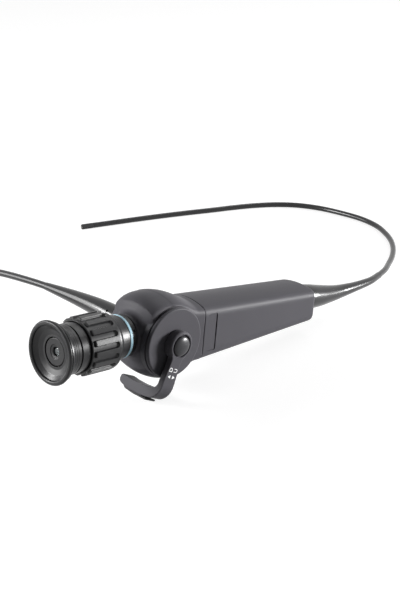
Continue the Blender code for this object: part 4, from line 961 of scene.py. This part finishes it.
def makeLever():
    half, face, thick = leverLook["arm"] / 2, leverLook["face"], leverLook["thick"]
    outer, hub = leverLook["outer"], leverLook["hub"]
    toSideView = turnBy(90, "Z") @ turnBy(90, "X")
    arm = settle("leverArm", plateSolid(restLine(), -2 * half, 2 * half), housing, toSideView)
    waist = half * 0.84
    front = [(waist, -0.0030), (waist, -0.0110), (half, -0.0190), (half, -outer + 0.0022)]
    front += bow((half - 0.0016, -outer + 0.0008), 0.0016, 0, -80, 8)
    front += [(half - 0.0016, -outer - 0.0010), (-half + 0.0016, -outer - 0.0010)]
    front += bow((-half + 0.0016, -outer + 0.0008), 0.0016, -100, -180, 8)
    front += [(-half, -0.0190), (-waist, -0.0110), (-waist, -0.0030)]
    upright = turnBy(90, "X")
    cutAway(arm, plateSolid(front, -0.04, 0.04), upright, "INTERSECT")
    fillet = leverLook["fillet"]
    across = waist + fillet
    drop = math.sqrt((hub + fillet) ** 2 - across ** 2)
    turn = math.degrees(math.atan2(drop, across))
    flare = [(-waist, -drop - 0.0008)] + bow((-across, -drop), fillet, 0, turn, 10) + [(0.0, -0.0010)]
    flare += [(-x, y) for x, y in reversed(flare[:-1])]
    cutAway(arm, plateSolid(flare, face - thick, face), upright, "UNION")
    foot = coverLook["face"] + 0.0003
    boss = [(0.0, face), (hub - 0.0008, face), (hub, face - 0.0007), (hub, foot), (0.0, foot)]
    cutAway(arm, latheShape(boss, 96, closed=False), upright, "UNION")
    soften(arm, 0.00022, 6)
    recess, floor, above = leverLook["recess"], leverLook["floor"], face + 0.0005
    well = [(0.0, floor), (recess, floor), (recess, face - 0.00015), (recess + 0.0006, above), (0.0, above)]
    cutAway(arm, latheShape(well, 96, closed=False), upright)
    cutAway(arm, drum(0.0026, 0.0160, above, 64), upright, angle=40.0)
    arm.data.transform(leverFrame)
    fit(arm, "lever", "housing_grey", "angulation_lever")


def soften(piece, grain, rounds):
    # rounds every edge a little: an even skin, then a light smoothing
    skin = piece.modifiers.new("skin", "REMESH")
    skin.mode = "VOXEL"
    skin.voxel_size = grain
    calm = piece.modifiers.new("calm", "SMOOTH")
    calm.iterations = rounds
    applied(piece).shade_smooth()


def makeCap():
    floor, cap = leverLook["floor"] + 0.0001, leverLook["cap"]
    line = [(0.0, floor + 0.0023)]
    line += [(cap * math.sin(a), floor + 0.0006 + 0.0017 * math.cos(a))
             for a in (0.1, 0.2, 0.35, 0.5, 0.7, 0.9, 1.05, 1.2, 1.35, 1.45)]
    line += [(cap, floor + 0.0005), (cap, floor), (0.0, floor)]
    cap = settle("leverCapDome", latheShape(line, 96, closed=False), capGloss, toLeverFace)
    fit(cap, "lever", "housing_grey", "lever_cap")


def makePad():
    outer, half = leverLook["outer"], leverLook["arm"] / 2 - 0.0005
    top, low = -outer - 0.0001, -outer - 0.0012
    outline = [(-0.0140, top + 0.0001), (-0.0140, low + 0.0004), (-0.0134, low), (-0.0030, low + 0.0001),
               (0.0032, low + 0.0009), (0.0046, low + 0.0018), (0.0046, top + 0.0016), (0.0030, top + 0.0010),
               (-0.0020, top + 0.0002), (-0.0080, top), (-0.0128, top)]
    sole = plateSolid(outline, -half, half)
    for point in sole.verts:
        point.co.z *= 1.0 if point.co.x < -0.0100 else 0.72
    pad = settle("thumbPadSole", sole, padRubber)
    rounding = pad.modifiers.new("rounding", "BEVEL")
    rounding.width = 0.0003
    rounding.segments = 3
    mesh = applied(pad)
    shaded(mesh, 40)
    mesh.transform(leverFrame @ turnBy(90, "Z") @ turnBy(90, "X"))
    fit(pad, "lever", "soft_black", "thumb_pad")


def glyph(name, letter, size, place, turn):
    # a printed direction mark, a thin sheet set just proud of the arm's face
    curve = bpy.data.curves.new(name, "FONT")
    curve.body = letter
    curve.size = size
    curve.extrude = 0.00003
    curve.align_x = "CENTER"
    curve.align_y = "CENTER"
    holder = bpy.data.objects.new(name, curve)
    bpy.context.scene.collection.objects.link(holder)
    mesh = plainMesh(holder)
    bpy.data.objects.remove(holder, do_unlink=True)
    return stamp(name, mesh, place, turn)


def stamp(name, mesh, place, turn):
    mesh.transform(toLeverFace @ moveBy(place[0], place[1], leverLook["face"] + 0.00001) @ turnBy(turn, "Z"))
    mesh.materials.clear()
    mesh.materials.append(markWhite)
    mark = bpy.data.objects.new(name, mesh)
    bpy.context.scene.collection.objects.link(mark)
    return fit(mark, "lever", "index_white")


def arrowHead(name, size, place, turn):
    half = size * 0.5
    shape = plateSolid([(-half, 0.0), (half, -half), (half, half)], -0.00003, 0.00003)
    mesh = bpy.data.meshes.new(name)
    shape.to_mesh(mesh)
    shape.free()
    return stamp(name, mesh, place, turn)


def makeMarks():
    glyph("markDown", "D", 0.0033, (-0.0018, -0.0129), 90)
    glyph("markUp", "U", 0.0033, (0.0017, -0.0129), 90)
    arrowHead("arrowDown", 0.0018, (-0.0018, -0.0165), 0)
    arrowHead("arrowUp", 0.0018, (0.0016, -0.0165), 180)


makeLever()
makeCap()
makePad()
makeMarks()
print("lever made")


# Bending section: each link ends in a ball that sits in the next one's socket, and the distal tip closes it

linkLook = {"links": 7, "pitch": 0.0040, "ball": 0.00166, "socket": 0.00170, "gap": 0.00028,
            "firstGap": 0.00054, "heading": 158.0, "tip": 0.0080}


def ballArc(radius, middle, first, last, steps=10):
    # corners of a profile on a ball's skin, between two heights above its middle
    low, high = math.asin(first / radius), math.asin(last / radius)
    turns = [low + (high - low) * k / steps for k in range(steps + 1)]
    return [(abs(radius * math.cos(turn)), middle + radius * math.sin(turn), 0) for turn in turns]


def makeLinks():
    pitch, ball, socket, gap = (linkLook[key] for key in ("pitch", "ball", "socket", "gap"))
    reach, count = tubeLook["diameter"] / 2, linkLook["links"]
    root = tableFrame(tubeRoute[-1]) @ turnBy(linkLook["heading"], "Z")
    upright = turnBy(90, "Y")
    stem = [(0.0, -0.0002, 0), (ball - 0.0001, -0.0002, 0)]
    endBall = lathe("tubeEndBall", stem + ballArc(ball, 0.0, 0.0, ball), glossSheath, root @ upright, 48,
                    closed=False)
    made = [fit(endBall, "scope", "gloss_black")]
    for i in range(count + 1):
        place = root @ moveBy(pitch * i, 0.0, 0.0) @ upright
        tail = linkLook["firstGap"] if i == 0 else gap
        skirt = [(reach, tail, 0.00004)] + ballArc(socket, 0.0, tail, socket)
        if i < count:
            head = list(reversed(ballArc(ball, pitch, -gap, ball))) + [(reach, pitch - gap, 0.00006)]
            link = lathe("bendingLinkSkin%d" % (i + 1), head + skirt, glossSheath, place, 48, closed=False)
            made.append(fit(link, "link_%d" % (i + 1), "gloss_black", "bending_link_%d" % (i + 1)))
    length = linkLook["tip"]
    head = [(0.0, length, 0), (reach - 0.0004, length, 0.0001), (reach, length - 0.0005, 0.0003)]
    tip = lathe("distalTipSkin", head + skirt, padRubber, place, 48, closed=False)
    for across, wide in ((0.0, 0.0006), (0.00105, 0.0005), (-0.00105, 0.0005)):
        cutAway(tip, drum(wide, 0.0070, 0.0085, 24), place @ moveBy(0.0, across, 0.0))
    made.append(fit(tip, "tip", "soft_black", "distal_tip"))
    return made


links = makeLinks()
print("bending section made")


# Light guide collar, the tie round the coil, and the plug

def makeGuideCollar():
    start, wide = bodyLook["farFace"] + 0.0003, 0.0070
    collar = lathe("guideCollar", [(0.0030, start, 0), (wide, start, 0.0002), (wide, start + 0.0032, 0.0004),
                                   (0.0030, start + 0.0032, 0)], eyepieceBlack, toFarSide, 96)
    fit(collar, "scope", "eyepiece_black", "light_guide_collar")


def makeTie():
    middle = (cableLook["turns"][0] + cableLook["turns"][-1]) / 2
    half, low = 0.0082, cableLook["lift"]
    inner = roundedBox((middle - half - 0.0001, low - 0.0001), (middle + half + 0.0001, low + 0.0083), 0.0019)
    outer = roundedBox((middle - half - 0.0007, low - 0.0007), (middle + half + 0.0007, low + 0.0089), 0.0025)
    shape = bmesh.new()
    rows = [[shape.verts.new((x, y, side)) for x, y in line]
            for line, side in ((outer, -0.0025), (outer, 0.0025), (inner, 0.0025), (inner, -0.0025))]
    joinRows(shape, rows + rows[:1])
    bmesh.ops.recalc_face_normals(shape, faces=shape.faces)
    place = tableFrame((*cableLook["coilMiddle"], 0.0)) @ turnBy(100, "Z") @ turnBy(90, "X")
    return fit(settle("coilTieStrap", shape, padRubber, place, 40.0), "scope", "soft_black", "coil_tie")


plugLook = {"radius": 0.0080, "boot": 0.0240, "body": 0.0340, "pin": 0.0030, "pinLength": 0.0300}


def makePlug():
    place = tableFrame(cableEndRoute[-1]) @ turnBy(90, "X")
    wide, bootEnd = plugLook["radius"], plugLook["boot"] + 0.0001
    bootLine = cornersFrom(0, 0, (0, 0.1, 0), (2.3, 0.1, 0.2), (2.8, 6.1, 0.8))
    for i in range(5):
        bootLine += cornersFrom(0.0029 + 0.00030 * i, 0.0068 + 0.0022 * i, (0, 0, 0.1), (-0.35, 0.2, 0.1),
                                (-0.3, 0.7, 0.1), (0.1, 0.9, 0.1))
    bootLine += [(wide * 0.60, bootEnd - 0.0060, 0.0006), (wide * 0.62, bootEnd, 0.0002), (0.0, bootEnd, 0)]
    boot = lathe("plugBootSkin", bootLine, glossSheath, place, 64, closed=False)
    start = bootEnd + 0.0001
    end = start + plugLook["body"]
    bodyLine = [(0.0, start, 0), (wide * 0.66, start, 0.0003), (wide * 0.72, start + 0.0006, 0.0003),
                (wide, start + 0.0080, 0.0008)]
    for i in range(6):
        bodyLine += cornersFrom(wide, start + 0.0180 + 0.0012 * i, (0, 0, 0.1), (-0.4, 0.2, 0.1),
                                (-0.4, 0.5, 0.1), (0, 0.7, 0.1))
    bodyLine += cornersFrom(wide, end, (0, -9.8, 0.4), (-0.4, -9.0, 0.3))
    bodyLine += cornersFrom(wide * 0.66, end, (0, -8.0, 0.3), (0, -0.6, 0.3))
    bodyLine += [(wide * 0.60, end, 0.0001), (0.0, end, 0)]
    body = lathe("plugBodySkin", bodyLine, housing, place, 96, closed=False)
    pinStart, pinWide = end + 0.0001, plugLook["pin"]
    pinEnd = pinStart + plugLook["pinLength"]
    pinLine = cornersFrom(pinWide, pinStart, (1.2, 0, 0.1), (1.2, 2.4, 0.4), (0, 3.0, 0.2), (0, 15.0, 0.3),
                          (-0.5, 16.5, 0.3))
    pinLine += cornersFrom(pinWide, pinEnd, (-0.5, -0.3, 0.2), (-0.8, 0, 0.1))
    pin = lathe("plugPinSkin", [(0.0, pinStart, 0)] + pinLine + [(0.0, pinEnd, 0)], turnedSteel, place, 64,
                closed=False)
    ventPlace = place @ moveBy(0.0, 0.0, start + 0.42 * plugLook["body"]) @ turnBy(-90, "X")
    vent = cornersFrom(0, wide, (0, 0.1, 0), (2.0, 0.1, 0), (2.0, 2.3, 0.2), (3.0, 2.7, 0.3), (3.0, 5.5, 0.4),
                       (2.4, 6.1, 0.2), (0, 6.1, 0))
    cap = lathe("ventCapSkin", vent, turnedSteel, ventPlace, 48, closed=False)
    return [fit(boot, "scope", "gloss_black", "plug_boot"),
            fit(body, "scope", "housing_grey", "light_guide_plug"),
            fit(pin, "scope", "steel", "light_guide_pin"), fit(cap, "scope", "steel", "vent_cap")]


makeGuideCollar()
tie = makeTie()
plugPieces = makePlug()


# Finishes of the pieces that keep their shape

innerFinishes = {"steel": turnedSteel, "brass": turnedBrass, "bearing_white": bearingPlastic,
                 "lens_glass": shadeDarkenedGlass, "fibre_grey": fibreBundle, "soft_black": padRubber,
                 "eyepiece_black": eyepieceBlack, "gloss_black": glossSheath, "housing_grey": housing}


def finishNodes():
    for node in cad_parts.values():
        if node.hide_render or node.type != "MESH":
            continue
        for slot in node.material_slots:
            slot.material = innerFinishes[slot.material.name.split(".")[0]]


finishNodes()


# Floor, world and lights

stageLook = {"floorReach": 6.0, "floorTone": 0.40, "floorGlow": 0.76, "skySeen": 0.93, "skyFill": 0.07}
lampLook = {
    "keyLamp": {"place": (1.00, -0.72, 0.14), "aim": (0.0, 0.0, 0.03), "size": (0.40, 0.30), "power": 33.0},
    "eyeLamp": {"place": (-0.78, 0.80, 0.20), "aim": (0.0, 0.0, 0.02), "size": (0.80, 0.80), "power": 13.0},
    "dishLamp": {"place": (-0.42, 0.39, 0.25), "aim": (-0.09, 0.0, 0.04), "size": (0.18, 0.18), "power": 2.8},
    "stripLamp": {"place": (0.72, 0.06, 0.94), "aim": (0.0, 0.0, 0.02), "size": (1.10, 0.12), "power": 3.0},
}


def shownWhite(tree, strength):
    # seen straight, mirrored or through glass, the background is white
    path = tree.nodes.new("ShaderNodeLightPath")
    seen = mathNode(tree, "MAXIMUM", path.outputs["Is Camera Ray"], path.outputs["Is Transmission Ray"])
    seen = mathNode(tree, "MAXIMUM", seen, path.outputs["Is Glossy Ray"])
    return mathNode(tree, "MULTIPLY", seen, strength)


def makeFloor():
    shape = bmesh.new()
    bmesh.ops.create_grid(shape, x_segments=1, y_segments=1, size=stageLook["floorReach"])
    finish, tree, shader = newFinish("floorWhite", (stageLook["floorTone"],) * 3, specular=0.2)
    setInputs(shader, Roughness=0.7, Emission_Color=(1.0, 1.0, 1.0, 1.0))
    tree.links.new(shownWhite(tree, stageLook["floorGlow"]), shader.inputs["Emission Strength"])
    floor = settle("floor", shape, finish)


def makeWorld():
    world = bpy.data.worlds.new("studio")
    world.use_nodes = True
    bpy.context.scene.world = world
    tree = world.node_tree
    sky = tree.nodes["Background"]
    setInputs(sky, Color=(1.0, 1.0, 1.0, 1.0))
    strength = mathNode(tree, "ADD", shownWhite(tree, stageLook["skySeen"]), stageLook["skyFill"])
    tree.links.new(strength, sky.inputs["Strength"])


def makeLamp(name, place, aim, size, power):
    lamp = bpy.data.lights.new(name, "AREA")
    lamp.shape = "RECTANGLE"
    lamp.size, lamp.size_y = size
    lamp.energy = power
    holder = bpy.data.objects.new(name, lamp)
    holder.location = place
    holder.rotation_euler = (Vector(aim) - Vector(place)).to_track_quat("-Z", "Y").to_euler()
    bpy.context.scene.collection.objects.link(holder)


makeFloor()
makeWorld()
for lampName, look in lampLook.items():
    makeLamp(lampName, **look)
bpy.context.scene.view_settings.view_transform = "Standard"

print("scene ready")
